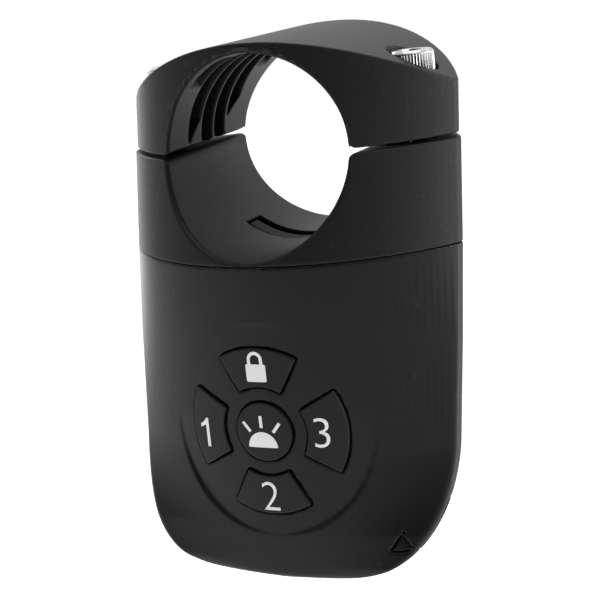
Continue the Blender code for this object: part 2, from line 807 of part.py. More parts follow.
def port_prism(along, through, levels):
    """A block that follows the side's edge: along runs back from the edge, through runs outwards."""
    turn = math.radians(PORT_TURN)
    outward = Vector((math.cos(turn), math.sin(turn), 0.0))
    backward = Vector((-math.sin(turn), math.cos(turn), 0.0))
    rings = []
    for z in levels:
        half_width, _, _, y_end, end_radius = housing_section(z, 0.0)
        edge = Vector((half_width - end_radius, y_end, z))
        starts = [edge + distance * backward for distance in along]
        ring = [starts[0] + distance * outward for distance in through]
        rings.append(ring + [starts[1] + distance * outward for distance in reversed(through)])
    bm = bmesh.new()
    add_loft(bm, rings, bent=True)
    return bm


def port_levels(grow):
    low, high = BOTTOM_Z + PORT_BOTTOM - grow, BOTTOM_Z + PORT_TOP + grow
    return [low + (high - low) * i / 4 for i in range(5)]


def port_solid(grow):
    """The siren port's window in the right bottom corner."""
    return port_prism((-PORT_LEAD - grow, PORT_WIDTH + grow), (-PORT_DEPTH - grow, 0.006), port_levels(grow))


def cavity_solid(inset, top):
    bm = bmesh.new()
    add_loft(bm, housing_rings(inset, top), bent=True)
    return bm


def make_housing(material):
    bm = bmesh.new()
    top = SEAM_Z - SEAM_GAP / 2
    add_loft(bm, housing_rings(0.0, top), bent=True)
    housing = part("housing", bm, material)
    combine(housing, cutter("cavity", cavity_solid(WALL, 0.0)))
    rim = bmesh.new()
    add_loft(
        rim, [[(x, y, z) for x, y in clamp_section(z, RIM_WALL)] for z in (SEAM_Z - RIM_DEPTH, 0.0)]
    )
    combine(housing, cutter("rim_recess", rim))
    for name, head in case_screw_places():
        drop = SEAM_Z - RIM_DEPTH - CASE_BOSS_RADIUS / 2 - head.z
        start = head + LEAN_DIRECTION * (drop / LEAN_DIRECTION.z)
        end = start - CASE_BOSS_LENGTH * LEAN_DIRECTION
        boss = cutter(f"case_boss_{name}", round_solid(end, start, CASE_BOSS_RADIUS, steps=SMALL_STEPS))
        combine(boss, cutter(f"case_boss_limit_{name}", cavity_solid(WALL * 0.5, 0.0)), "INTERSECT")
        combine(housing, boss, "UNION")
        tip = head - (CASE_SCREW_LENGTH + CLEAR) * LEAN_DIRECTION
        hole = round_solid(tip, head, CASE_SCREW_RADIUS + FIT, steps=SMALL_STEPS)
        combine(housing, cutter(f"case_hole_{name}", hole))
    for i, (x, z) in enumerate(post_places()):
        wall_y = front_y(x, z, WALL)
        foot, tip = (x, wall_y - WALL / 2, z), (x, board_y() - CLEAR, z)
        post = round_solid(foot, tip, POST_RADIUS, steps=SMALL_STEPS)
        combine(housing, cutter(f"board_post_{i}", post), "UNION")
        hole = round_solid(
            (x, wall_y, z), (x, board_y() + 0.002, z), BOARD_SCREW_RADIUS + FIT, steps=12
        )
        combine(housing, cutter(f"board_post_hole_{i}", hole))
    disc = round_solid((0, 2 * FRONT_Y, KEYPAD_Z), (0, 0, KEYPAD_Z), FIELD_RADIUS, steps=48)
    field = cutter("keypad_field", disc)
    combine(field, ahead_of_front("field_floor", FIELD_DEPTH), "INTERSECT")
    combine(housing, field)
    for name, quarter in KEYS.items():
        opening = bmesh.new()
        add_prism(opening, shifted(key_outline(quarter, KEY_GAP)), FRONT_Y - 0.005, INNER_FRONT_Y + 0.008)
        combine(housing, cutter(f"{name}_opening", opening))
    combine(housing, cutter("port_window", port_solid(0.0)))
    return housing


def make_grille(material):
    """Louvred corner piece that fills the port's window."""
    grille = part("siren_grille", port_solid(-CLEAR), material)
    combine(grille, cutter("grille_outside", cavity_solid(0.0, SEAM_Z)), "INTERSECT")
    combine(grille, cutter("grille_cavity", cavity_solid(WALL, 0.0)))
    rib = (PORT_LEAD + PORT_WIDTH - 2 * CLEAR - PORT_SLOTS * PORT_SLOT_WIDTH) / (PORT_SLOTS + 1)
    slots = bmesh.new()
    for i in range(PORT_SLOTS):
        start = rib - PORT_LEAD + CLEAR + i * (rib + PORT_SLOT_WIDTH)
        slot = port_prism((start, start + PORT_SLOT_WIDTH), (-0.007, 0.007), port_levels(-PORT_FRAME))
        mesh = bpy.data.meshes.new("slot")
        slot.to_mesh(mesh)
        slot.free()
        slots.from_mesh(mesh)
        bpy.data.meshes.remove(mesh)
    combine(grille, cutter("grille_slots", slots))
    return grille


def make_gasket(material):
    """Flat ring on the ledge inside the housing's rim, under the cradle."""
    top = PLUG_Z - CLEAR
    bottom = top - GASKET_HEIGHT
    bm = bmesh.new()
    inset = RIM_WALL + CLEAR
    add_loft(bm, [[(x, y, z) for x, y in clamp_section(z, inset)] for z in (bottom, top)])
    gasket = part("seam_gasket", bm, material)
    hole = bmesh.new()
    width = WALL - RIM_WALL + CLEAR
    levels = (bottom - 0.001, top + 0.001)
    add_loft(hole, [[(x, y, z) for x, y in clamp_section(z, inset + width)] for z in levels])
    combine(gasket, cutter("gasket_hole", hole))
    return gasket


def make_mat(material):
    low, high = board_span()
    half = BOARD_HALF_WIDTH - POST_INSET - POST_RADIUS - CLEAR
    y = mat_y()
    mat = part(
        "keypad_mat",
        box_solid((-half, y, low + 0.001), (half, y + MAT_THICKNESS, high - 0.001)),
        material,
    )
    for name, quarter in KEYS.items():
        x, z = key_centre(quarter)
        hole = round_solid((x, y - 0.001, z), (x, y + 0.002, z), STEM_RADIUS + CLEAR, steps=SMALL_STEPS)
        combine(mat, cutter(f"{name}_mat_hole", hole))
    return mat


# ---- Electronics ------------------------------------------------------------------------------------


def make_board(material):
    low, high = board_span()
    y = board_y()
    bm = box_solid((-BOARD_HALF_WIDTH, y, low), (BOARD_HALF_WIDTH, y + BOARD_THICKNESS, high + BOARD_MARGIN))
    board = part("circuit_board", bm, material)
    combine(board, cutter("board_limit", cavity_solid(WALL + CLEAR, 0.0)), "INTERSECT")
    for i, (x, z) in enumerate(post_places()):
        hole = round_solid((x, y - 0.001, z), (x, y + 0.003, z), BOARD_SCREW_RADIUS + FIT, steps=12)
        combine(board, cutter(f"board_hole_{i}", hole))
    return board


def make_switch(name, quarter, material):
    x, z = key_centre(quarter)
    back = board_y() - CLEAR
    half = SWITCH_SIDE / 2
    bm = box_solid((x - half, back - SWITCH_HEIGHT, z - half), (x + half, back, z + half))
    switch = part(f"switch_{name}", bm, material)
    plunger = round_solid(
        (x, back - SWITCH_HEIGHT - PLUNGER_HEIGHT, z), (x, back - 0.0002, z), PLUNGER_RADIUS, steps=12
    )
    combine(switch, cutter(f"plunger_{name}", plunger), "UNION")
    return switch


def make_board_screw(word, x, z, material):
    y = board_y() + BOARD_THICKNESS + CLEAR / 2
    length = min(BOARD_SCREW_LENGTH, y - front_y(x, z, WALL) - FIT)
    profile = [
        (0.0, 0.0012),
        (BOARD_SCREW_HEAD * 0.7, 0.0012),
        (BOARD_SCREW_HEAD, 0.0006),
        (BOARD_SCREW_HEAD, 0.0),
        (BOARD_SCREW_RADIUS, 0.0),
        (BOARD_SCREW_RADIUS, 0.0005 - length),
        (0.0, -length),
    ]
    turn = Vector((0, 1, 0)).to_track_quat("Z", "X").to_matrix().to_4x4()
    place = Matrix.Translation((x, y, z)) @ turn
    return turned_solid(f"board_screw_{word}", material, profile, place, steps=12)


def cell_radius():
    """The largest cell that fits beside the other, and from the board to the back wall at its foot."""
    front = board_y() + BOARD_THICKNESS + CLEAR + TRAY_WALL + FIT
    length = TRAY_WALL + FIT + CONTACT_THICKNESS + FIT + CELL_LENGTH
    z = PLUG_Z - CLEAR - GASKET_HEIGHT - CLEAR - length
    _, (radius, centre) = lens_arcs(*housing_section(z, WALL))
    back = centre + math.sqrt(radius**2 - (CELL_SPACING / 2) ** 2)
    return min(back - CELL_BACK_ROOM - front, CELL_SPACING - CELL_GAP) / 2


def tray_box():
    """Lowest and highest corner of the battery tray, behind the board and under the cradle."""
    y = board_y() + BOARD_THICKNESS + CLEAR
    half = CELL_SPACING / 2 + cell_radius() + FIT + TRAY_WALL
    top = PLUG_Z - CLEAR - GASKET_HEIGHT - CLEAR
    length = 2 * TRAY_WALL + CELL_LENGTH + SPRING_HEIGHT + CONTACT_THICKNESS + 4 * FIT
    return Vector((-half, y, top - length)), Vector((half, y + TRAY_WALL + cell_radius(), top))


def cell_axis(side):
    low, _ = tray_box()
    return side * CELL_SPACING / 2, low.y + TRAY_WALL + FIT + cell_radius()


def cell_span():
    _, high = tray_box()
    top = high.z - TRAY_WALL - FIT - CONTACT_THICKNESS - FIT
    return top - CELL_LENGTH, top


def make_tray(material):
    low, high = tray_box()
    tray = part("battery_tray", box_solid(low, high), material)
    inner_low = low + Vector((TRAY_WALL, TRAY_WALL, TRAY_WALL))
    inner_high = high - Vector((TRAY_WALL, -0.002, TRAY_WALL))
    combine(tray, cutter("tray_inside", box_solid(inner_low, inner_high)))
    return tray


def make_cell(word, side, material):
    x, y = cell_axis(side)
    bottom, top = cell_span()
    nub = 0.0010
    profile = [
        (0.0, 0.0),
        (cell_radius() * 0.35, 0.0),
        (cell_radius() * 0.35, -nub),
        (cell_radius(), -nub),
        (cell_radius(), -CELL_LENGTH),
        (0.0, -CELL_LENGTH),
    ]
    return turned_solid(f"battery_cell_{word}", material, profile, Matrix.Translation((x, y, top)), steps=24)


def make_battery_spring(word, side, material):
    """Conical coil under one cell."""
    x, y = cell_axis(side)
    bottom, _ = cell_span()
    low, _ = tray_box()
    start = low.z + TRAY_WALL + CLEAR + SPRING_WIRE
    end = bottom - CLEAR - SPRING_WIRE
    turns, per_turn = 2.5, 12
    count = int(turns * per_turn) + 1
    curve = bpy.data.curves.new(f"spring_curve_{word}", "CURVE")
    curve.dimensions = "3D"
    curve.bevel_depth = SPRING_WIRE
    curve.bevel_resolution = 1
    curve.use_fill_caps = True
    spline = curve.splines.new("POLY")
    spline.points.add(count - 1)
    for i, point in enumerate(spline.points):
        share = i / (count - 1)
        angle = 2 * math.pi * turns * share
        radius = cell_radius() * (0.75 - 0.4 * share)
        point.co = (
            x + radius * math.cos(angle),
            y + radius * math.sin(angle),
            start + (end - start) * share,
            1.0,
        )
    spring = bpy.data.objects.new(f"battery_spring_{word}", curve)
    PARTS.objects.link(spring)
    curve.materials.append(material)
    return spring


def make_contact(material):
    """Plate that joins the two cells at the top."""
    _, top = cell_span()
    low, high = tray_box()
    inset = TRAY_WALL + FIT
    bm = box_solid(
        (low.x + inset, low.y + inset, top + FIT),
        (high.x - inset, high.y - 0.001, top + FIT + CONTACT_THICKNESS),
    )
    return part("battery_contact", bm, material)


def make_wire(word, x, material):
    """Lead from the foot of the tray down to the board's back."""
    low, _ = tray_box()
    start = Vector((x, low.y + 0.0030, low.z - CLEAR))
    board_back = board_y() + BOARD_THICKNESS + CLEAR
    end = Vector((x, board_back, low.z - 0.0045))
    curve = bpy.data.curves.new(f"wire_curve_{word}", "CURVE")
    curve.dimensions = "3D"
    curve.bevel_depth = WIRE_RADIUS
    curve.bevel_resolution = 2
    curve.use_fill_caps = True
    spline = curve.splines.new("POLY")
    steps = 6
    spline.points.add(steps)
    for i, point in enumerate(spline.points):
        angle = math.pi / 2 * i / steps
        y = end.y + (start.y - end.y) * math.cos(angle)
        z = start.z + (end.z - start.z) * math.sin(angle)
        point.co = (x, y, z, 1.0)
    wire = bpy.data.objects.new(f"battery_wire_{word}", curve)
    PARTS.objects.link(wire)
    curve.materials.append(material)
    return wire


def siren_frame():
    """Middle of the siren, below the circuit board, and the direction it faces, towards the port."""
    low, _ = board_span()
    z = low - CLEAR - SIREN_RADIUS
    centre = Vector((SIREN_OFFSET, board_y() - SIREN_RADIUS / 2, z))
    return centre, Vector((1.0, 0.0, 0.0))


def make_siren(material):
    centre, facing = siren_frame()
    half = SIREN_LENGTH / 2
    body = part(
        "siren_body",
        round_solid(centre - half * facing, centre + half * facing, SIREN_RADIUS, steps=24),
        material,
    )
    mouth = round_solid(centre, centre + (half + 0.001) * facing, SIREN_RADIUS - 0.0010, steps=24)
    combine(body, cutter("siren_mouth", mouth))
    return body


def make_diaphragm(material):
    centre, facing = siren_frame()
    half = SIREN_LENGTH / 2
    start = centre + (half - 0.0012) * facing
    return part(
        "siren_diaphragm",
        round_solid(start, start + 0.0005 * facing, SIREN_RADIUS - 0.0010 - CLEAR, steps=24),
        material,
    )


def make_board_parts(chip, metal):
    """Microcontroller, driver coil and vibration sensor on the board's back, below the tray."""
    y = board_y() + BOARD_THICKNESS + CLEAR
    tray_low, _ = tray_box()
    low, _ = board_span()
    z = (tray_low.z + low) / 2 - 0.0004
    chip_edge = -WIRE_SPACING / 2 - WIRE_RADIUS - 2 * CLEAR
    half = CHIP_SIDE / 2
    low, high = (chip_edge - CHIP_SIDE, y, z - half), (chip_edge, y + CHIP_HEIGHT, z + half)
    part("microcontroller", box_solid(low, high), chip)
    x = chip_edge - CHIP_SIDE - 2 * CLEAR - SENSOR_RADIUS
    sensor = round_solid((x, y, z), (x, y + SENSOR_HEIGHT, z), SENSOR_RADIUS, steps=16)
    part("vibration_sensor", sensor, metal)
    x -= SENSOR_RADIUS + 2 * CLEAR + COIL_RADIUS
    part("driver_coil", round_solid((x, y, z), (x, y + COIL_HEIGHT, z), COIL_RADIUS, steps=20), chip)


# ---- Assembly ---------------------------------------------------------------------------------------

clear_scene()
PARTS = new_collection("keypad_alarm")
CUTTERS = new_collection("Cutters")

casing = new_material("casing_plastic", (0.02, 0.02, 0.021), 0.62)
shell = new_material("housing_plastic", (0.018, 0.018, 0.019), 0.42)
key_plastic = new_material("key_plastic", (0.022, 0.022, 0.023), 0.55)
steel = new_material("plated_steel", (0.75, 0.75, 0.76), 0.25, 1.0)
dark_steel = new_material("black_steel", (0.12, 0.12, 0.13), 0.4, 1.0)
brass = new_material("brass", (0.72, 0.53, 0.22), 0.35, 1.0)
rubber = new_material("black_rubber", (0.03, 0.03, 0.03), 0.85)
silicone = new_material("grey_silicone", (0.25, 0.25, 0.26), 0.7)
board_green = new_material("board_laminate", (0.03, 0.16, 0.07), 0.5)
chip_black = new_material("chip_epoxy", (0.03, 0.03, 0.03), 0.5)
cell_jacket = new_material("cell_jacket", (0.1, 0.16, 0.35), 0.4)
tray_plastic = new_material("tray_plastic", (0.08, 0.08, 0.08), 0.55)
red_insulation = new_material("red_insulation", (0.6, 0.04, 0.03), 0.5)
black_insulation = new_material("black_insulation", (0.03, 0.03, 0.03), 0.5)

key_face = ahead_of_front("key_faces", -KEY_PROUD)

make_cap(casing)
make_cradle(casing)
make_grip_strip(rubber)
make_housing(shell)
make_grille(shell)
make_gasket(rubber)
for side, word in ((1, "right"), (-1, "left")):
    make_clamp_screw(word, side, steel)
    make_insert(word, side, brass)
for name, top in case_screw_places():
    make_case_screw(name, top, dark_steel)
for name, quarter in KEYS.items():
    make_key(name, quarter, key_plastic)
    make_switch(name.replace("_key", "").replace("key_", ""), quarter, chip_black)
make_mat(silicone)
make_board(board_green)
make_board_screw("left", *post_places()[0], dark_steel)
make_board_screw("right", *post_places()[3], dark_steel)
make_board_parts(chip_black, steel)
make_tray(tray_plastic)
for side, word in ((1, "right"), (-1, "left")):
    make_cell(word, side, cell_jacket)
    make_battery_spring(word, side, steel)
make_contact(steel)
make_wire("red", WIRE_SPACING / 2, red_insulation)
make_wire("black", -WIRE_SPACING / 2, black_insulation)
make_siren(chip_black)
make_diaphragm(brass)
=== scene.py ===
import json
import math

import bmesh
import bpy
from mathutils import Matrix, Vector


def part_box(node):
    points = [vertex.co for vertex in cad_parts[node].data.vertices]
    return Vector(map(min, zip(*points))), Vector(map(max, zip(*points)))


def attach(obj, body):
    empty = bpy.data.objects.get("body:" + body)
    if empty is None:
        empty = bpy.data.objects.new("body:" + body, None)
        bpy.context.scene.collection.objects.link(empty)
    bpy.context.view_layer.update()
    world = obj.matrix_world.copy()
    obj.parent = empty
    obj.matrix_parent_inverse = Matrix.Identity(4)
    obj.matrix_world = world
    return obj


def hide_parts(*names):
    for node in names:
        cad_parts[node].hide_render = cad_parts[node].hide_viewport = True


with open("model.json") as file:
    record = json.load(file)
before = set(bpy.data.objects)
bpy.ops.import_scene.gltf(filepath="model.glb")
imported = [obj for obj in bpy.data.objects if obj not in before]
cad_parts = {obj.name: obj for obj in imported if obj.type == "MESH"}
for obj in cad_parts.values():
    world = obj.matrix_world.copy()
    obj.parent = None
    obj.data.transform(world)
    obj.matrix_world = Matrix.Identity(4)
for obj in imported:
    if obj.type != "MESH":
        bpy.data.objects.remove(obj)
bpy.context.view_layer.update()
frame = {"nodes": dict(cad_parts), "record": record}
print("frame loaded:", len(frame["nodes"]), "nodes")

# the leaning lens section that cap, cradle and housing share, in metres
casing = {
    "halfWidth": 0.02965,
    "frontDepth": 0.0183,
    "backDepth": 0.0185,
    "backTaper": 0.06,
    "edgeRadius": 0.0022,
    "edgeSetback": 0.0010,
    "leastEdge": 0.0008,
    "cutReach": 0.06,
    "lean": math.tan(math.radians(10.9)),
    "arcSteps": 56,
    "edgeSteps": 10,
}

# the lower shell, from the seam down
housing = {
    "seam": -0.0165,
    "seamGap": 0.00012,
    "height": 0.0528,
    "sideTaper": 0.0008,
    "cornerHeight": 0.0210,
    "cornerReach": 0.0180,
    "bottomCrown": 0.0009,
    "frontRounding": 0.0018,
    "backRounding": 0.0130,
    "keelPower": 3.8,
    "wall": 0.0026,
    "rimWall": 0.0016,
    "rimDepth": 0.0042,
    "cornerSteps": 26,
    "edgeLead": 0.0016,
    "leastLead": 0.0012,
    "leastEdge": 0.0006,
    "skin": (0.00024, 3, 0.3),
}
bottomZ = housing["seam"] - housing["height"]
frontY = housing["seam"] * casing["lean"] - casing["frontDepth"]


def newObject(name, bm):
    mesh = bpy.data.meshes.new(name)
    bmesh.ops.recalc_face_normals(bm, faces=bm.faces)
    bm.to_mesh(mesh)
    bm.free()
    obj = bpy.data.objects.new(name, mesh)
    bpy.context.scene.collection.objects.link(obj)
    return obj


def dropObject(obj):
    mesh = obj.data
    bpy.data.objects.remove(obj, do_unlink=True)
    bpy.data.meshes.remove(mesh)


def settle(obj):  # turns the modifiers into plain mesh
    graph = bpy.context.evaluated_depsgraph_get()
    mesh = bpy.data.meshes.new_from_object(obj.evaluated_get(graph))
    old = obj.data
    obj.modifiers.clear()
    obj.data = mesh
    bpy.data.meshes.remove(old)
    mesh.name = obj.name
    return obj


def carve(obj, tool, operation="DIFFERENCE"):
    cut = obj.modifiers.new("carve", "BOOLEAN")
    cut.object = tool
    cut.operation = operation
    cut.solver = "EXACT"
    settle(obj)
    dropObject(tool)
    return obj


def soften(obj, voxel, passes, keep=0.4):  # even skin, then relaxed edges, then fewer faces
    even = obj.modifiers.new("even", "REMESH")
    even.mode = "VOXEL"
    even.voxel_size = voxel
    relax = obj.modifiers.new("relax", "SMOOTH")
    relax.factor = 0.5
    relax.iterations = passes
    thin = obj.modifiers.new("thin", "DECIMATE")
    thin.ratio = keep
    settle(obj)
    obj.data.shade_smooth()
    return obj


def loft(bm, rings):
    verts = [[bm.verts.new(p) for p in ring] for ring in rings]
    count = len(rings[0])
    sides = []
    for low, high in zip(verts, verts[1:]):
        for i in range(count):
            j = (i + 1) % count
            sides.append(bm.faces.new((low[i], low[j], high[j], high[i])))
    bm.faces.new(list(reversed(verts[0])))
    bm.faces.new(verts[-1])
    bmesh.ops.triangulate(bm, faces=sides)


def loftObject(name, rings):
    bm = bmesh.new()
    loft(bm, rings)
    return newObject(name, bm)


def prismObject(name, outline, yStart, yEnd):
    return loftObject(name, [[(x, y, z) for x, z in outline] for y in (yStart, yEnd)])


def rodObject(name, start, end, radius, steps=64, endRadius=None):
    start, end = Vector(start), Vector(end)
    turn = (end - start).to_track_quat("Z", "Y").to_matrix()
    rings = []
    for centre, r in ((start, radius), (end, radius if endRadius is None else endRadius)):
        ring = []
        for i in range(steps):
            a = 2 * math.pi * i / steps
            ring.append(centre + turn @ Vector((r * math.cos(a), r * math.sin(a), 0)))
        rings.append(ring)
    return loftObject(name, rings)


def arc(centre, radius, start, end, steps):
    points = []
    for i in range(steps + 1):
        a = start + (end - start) * i / steps
        points.append((centre[0] + radius * math.cos(a), centre[1] + radius * math.sin(a)))
    return points


def lensArcs(halfWidth, yFront, yBack, yEnd, endRadius):
    reach = halfWidth - endRadius
    radii = []
    for depth in (yEnd - yFront, yBack - yEnd):
        radii.append((reach**2 + depth**2 - endRadius**2) / (2 * (depth - endRadius)))
    return (radii[0], yFront + radii[0]), (radii[1], yBack - radii[1])


def lensOutline(halfWidth, yFront, yBack, yEnd, endRadius):
    front, back = lensArcs(halfWidth, yFront, yBack, yEnd, endRadius)
    (frontRadius, frontCentre), (backRadius, backCentre) = front, back
    reach = halfWidth - endRadius
    frontAngle = math.atan2(reach, frontCentre - yEnd)
    backAngle = math.atan2(reach, yEnd - backCentre)
    down, up = -math.pi / 2, math.pi / 2
    wide, tight = casing["arcSteps"], casing["edgeSteps"]
    outline = arc((0, frontCentre), frontRadius, down - frontAngle, down + frontAngle, wide)[:-1]
    outline += arc((reach, yEnd), endRadius, down + frontAngle, up - backAngle, tight)[:-1]
    outline += arc((0, backCentre), backRadius, up - backAngle, up + backAngle, wide)[:-1]
    outline += arc((-reach, yEnd), endRadius, up + backAngle, 3 * up - frontAngle, tight)[:-1]
    return outline


def clampLens(z, inset):
    shift = z * casing["lean"]
    return (
        casing["halfWidth"] - inset,
        shift - casing["frontDepth"] + inset,
        shift + casing["backDepth"] - inset,
        shift - casing["edgeSetback"],
        max(casing["edgeRadius"] - inset, casing["leastEdge"]),
    )


def clampRing(z, inset):
    return [(x, y, z) for x, y in lensOutline(*clampLens(z, inset))]


def clampDepth(x, z, front):  # y of the clamp's front or back wall
    (frontRadius, frontCentre), (backRadius, backCentre) = lensArcs(*clampLens(z, 0.0))
    if front:
        return frontCentre - math.sqrt(max(frontRadius**2 - x**2, 0))
    return backCentre + math.sqrt(max(backRadius**2 - x**2, 0))


def bezier(points, t):
    s = 1 - t
    weights = (s**3, 3 * s * s * t, 3 * s * t * t, t**3)
    return tuple(sum(w * p[i] for w, p in zip(weights, points)) for i in (0, 1))


def housingSide():  # (half width, height above the bottom), down one side
    shoulder = casing["halfWidth"] - housing["sideTaper"]
    reach, crown = housing["cornerReach"], housing["bottomCrown"]
    corner = (
        (shoulder, housing["cornerHeight"]),
        (shoulder - housing["sideTaper"], housing["cornerHeight"] * 0.43),
        (shoulder - reach * 0.31, crown * 2.4),
        (shoulder - reach, crown),
    )
    top = housing["height"]
    side = [(casing["halfWidth"], top)]
    side.append((casing["halfWidth"] - housing["sideTaper"] * 0.3, top * 0.72))
    steps = housing["cornerSteps"]
    side += [bezier(corner, i / steps) for i in range(steps + 1)]
    side.append((shoulder - reach * 1.4, 0.0))
    return side


sideLine = housingSide()


def halfWidthAt(z):
    height = min(max(z - bottomZ, 0.0), housing["height"])
    for (upperW, upperH), (lowerW, lowerH) in zip(sideLine, sideLine[1:]):
        if lowerH <= height:
            return lowerW + (upperW - lowerW) * (height - lowerH) / (upperH - lowerH)
    return sideLine[-1][0]


def roundedIn(height, rounding):
    if height >= rounding:
        return 0.0
    return rounding - math.sqrt(rounding**2 - (rounding - height) ** 2)


def housingLens(z, inset):
    height = max(z - bottomZ, 0.0)
    halfWidth = halfWidthAt(z)
    yFront = frontY + roundedIn(height, housing["frontRounding"])
    taper = casing["backTaper"] * (z - housing["seam"])
    yBack = z * casing["lean"] + casing["backDepth"] + taper - roundedIn(height, housing["backRounding"])
    swing = min(halfWidth / (casing["halfWidth"] - housing["sideTaper"]), 1.0) ** housing["keelPower"]
    yEnd = frontY + (z * casing["lean"] - casing["edgeSetback"] - frontY) * swing
    yEnd = max(yEnd, yFront + housing["edgeLead"])
    endRadius = max(min(casing["edgeRadius"], 0.4 * (yEnd - yFront)) - inset, housing["leastEdge"])
    yEnd = max(yEnd, yFront + inset + housing["leastLead"])
    return halfWidth - inset, yFront + inset, yBack - inset, yEnd, endRadius


def housingRings(inset, top):
    rings = []
    for _, height in reversed(sideLine):
        level = bottomZ + height
        z = level + inset * (1 - height / housing["height"])
        rings.append([(x, y, z) for x, y in lensOutline(*housingLens(level, inset))])
    last = [(x, y, top) for x, y, _ in rings[-1]]
    if top < rings[-1][0][2]:
        rings = rings[:-1]
    return rings + [last]


def faceY(x, z):  # the housing's front surface
    (radius, centre), _ = lensArcs(*housingLens(z, 0.0))
    return centre - math.sqrt(radius**2 - x**2)


# the cap and the cradle round the tube
clamp = {
    "bore": 0.0160,
    "splitGap": 0.0006,
    "splitRounding": 0.0014,
    "capStep": 0.0003,
    "crownWall": 0.0016,
    "archRadius": 0.0515,
    "lipRounding": 0.0011,
    "pocketsPerSide": 6,
    "pocketRib": 0.0008,
    "pocketWall": 0.0015,
    "pocketRoof": 0.0020,
    "pocketStart": 0.0055,
    "pocketTips": ((0.0010, 0.0050), (0.0008, 0.0048), None, None, (0.0036, 0.0066), (0.0044, 0.0070)),
    "screwX": 0.0223,
    "screwHole": 0.0023,
    "counterbore": 0.0040,
    "seat": 0.0092,
    "slotWidth": 0.0052,
    "slotDepth": 0.0013,
    "slotHalfAngle": 35,
    "floorLip": 0.00035,
    "lipReach": 0.003,
    "plugInset": 0.0019,
    "plugHeights": (-0.0184, -0.0163),
    "insertRadius": 0.00295,
    "insertFloor": -0.01035,
    "pilotFloor": -0.0140,
    "holeTop": 0.002,
    "boreSteps": 120,
    "skin": (0.00021, 3, 0.35),
}
crownZ = clamp["bore"] + clamp["crownWall"]


def boreOutline(side):  # 1 for the cap, -1 for the cradle
    gap = clamp["splitGap"] / 2
    rounding = clamp["splitRounding"]
    level = gap + rounding
    cornerX = math.sqrt((clamp["bore"] + rounding) ** 2 - level**2)
    cornerAngle = math.atan2(level, cornerX)
    far = 2 * casing["halfWidth"]
    outline = [(far, gap)]
    outline += arc((cornerX, level), rounding, -math.pi / 2, cornerAngle - math.pi, 12)
    outline += arc((0, 0), clamp["bore"], cornerAngle, math.pi - cornerAngle, clamp["boreSteps"])[1:-1]
    outline += arc((-cornerX, level), rounding, -cornerAngle, -math.pi / 2, 12)
    outline += [(-far, gap), (-far, -far), (far, -far)]
    return [(x, side * z) for x, z in outline]


def lipTool(name):  # flares both mouths of the bore, following the curved faces
    rings = []
    big = clamp["lipRounding"]
    steps = 8
    stations = [("front", i) for i in range(-1, steps + 1)] + [("back", i) for i in range(steps, -2, -1)]
    for face, i in stations:
        ring = []
        for k in range(clamp["boreSteps"]):
            a = 2 * math.pi * k / clamp["boreSteps"]
            x, z = clamp["bore"] * math.cos(a), clamp["bore"] * math.sin(a)
            floor = max(0.0, -math.sin(a)) ** 6
            r = big * (1 - floor) + clamp["floorLip"] * floor
            y = clampDepth(x, z, face == "front")
            sign = 1 if face == "front" else -1
            if i < 0:
                flare, depth = r * 1.1, -clamp["lipReach"]
            else:
                t = i / steps * math.pi / 2
                flare, depth = r * (1 - math.sin(t)), r * (1 - math.cos(t))
            radius = clamp["bore"] - 0.00002 + flare
            ring.append((radius * math.cos(a), y + sign * depth, radius * math.sin(a)))
        rings.append(ring)
    return loftObject(name, rings)


def archZ(x, drop=0.0):
    radius = clamp["archRadius"] - drop
    return crownZ - clamp["archRadius"] + math.sqrt(radius**2 - x**2)


def makeCap():
    through = casing["cutReach"]
    cap = loftObject("cap_shell", [clampRing(z, clamp["capStep"]) for z in (-0.001, crownZ + 0.001)])
    half = math.asin(min(0.95, 1.15 * casing["halfWidth"] / clamp["archRadius"]))
    up = math.pi / 2
    outline = arc((0, crownZ - clamp["archRadius"]), clamp["archRadius"], up - half, up + half, 120)
    outline += [(outline[-1][0], -0.03), (outline[0][0], -0.03)]
    carve(cap, prismObject("arch", outline, -through, through), "INTERSECT")
    carve(cap, prismObject("bore_above", boreOutline(1), -through, through))
    carve(cap, lipTool("lip_above"))
    for tool in pocketTools():
        carve(cap, tool)
    for side in (-1, 1):
        x = side * clamp["screwX"]
        carve(cap, rodObject("screw_hole", (x, 0, -0.002), (x, 0, crownZ), clamp["screwHole"]))
        carve(cap, rodObject("counterbore", (x, 0, clamp["seat"]), (x, 0, 0.03), clamp["counterbore"]))
    return cap


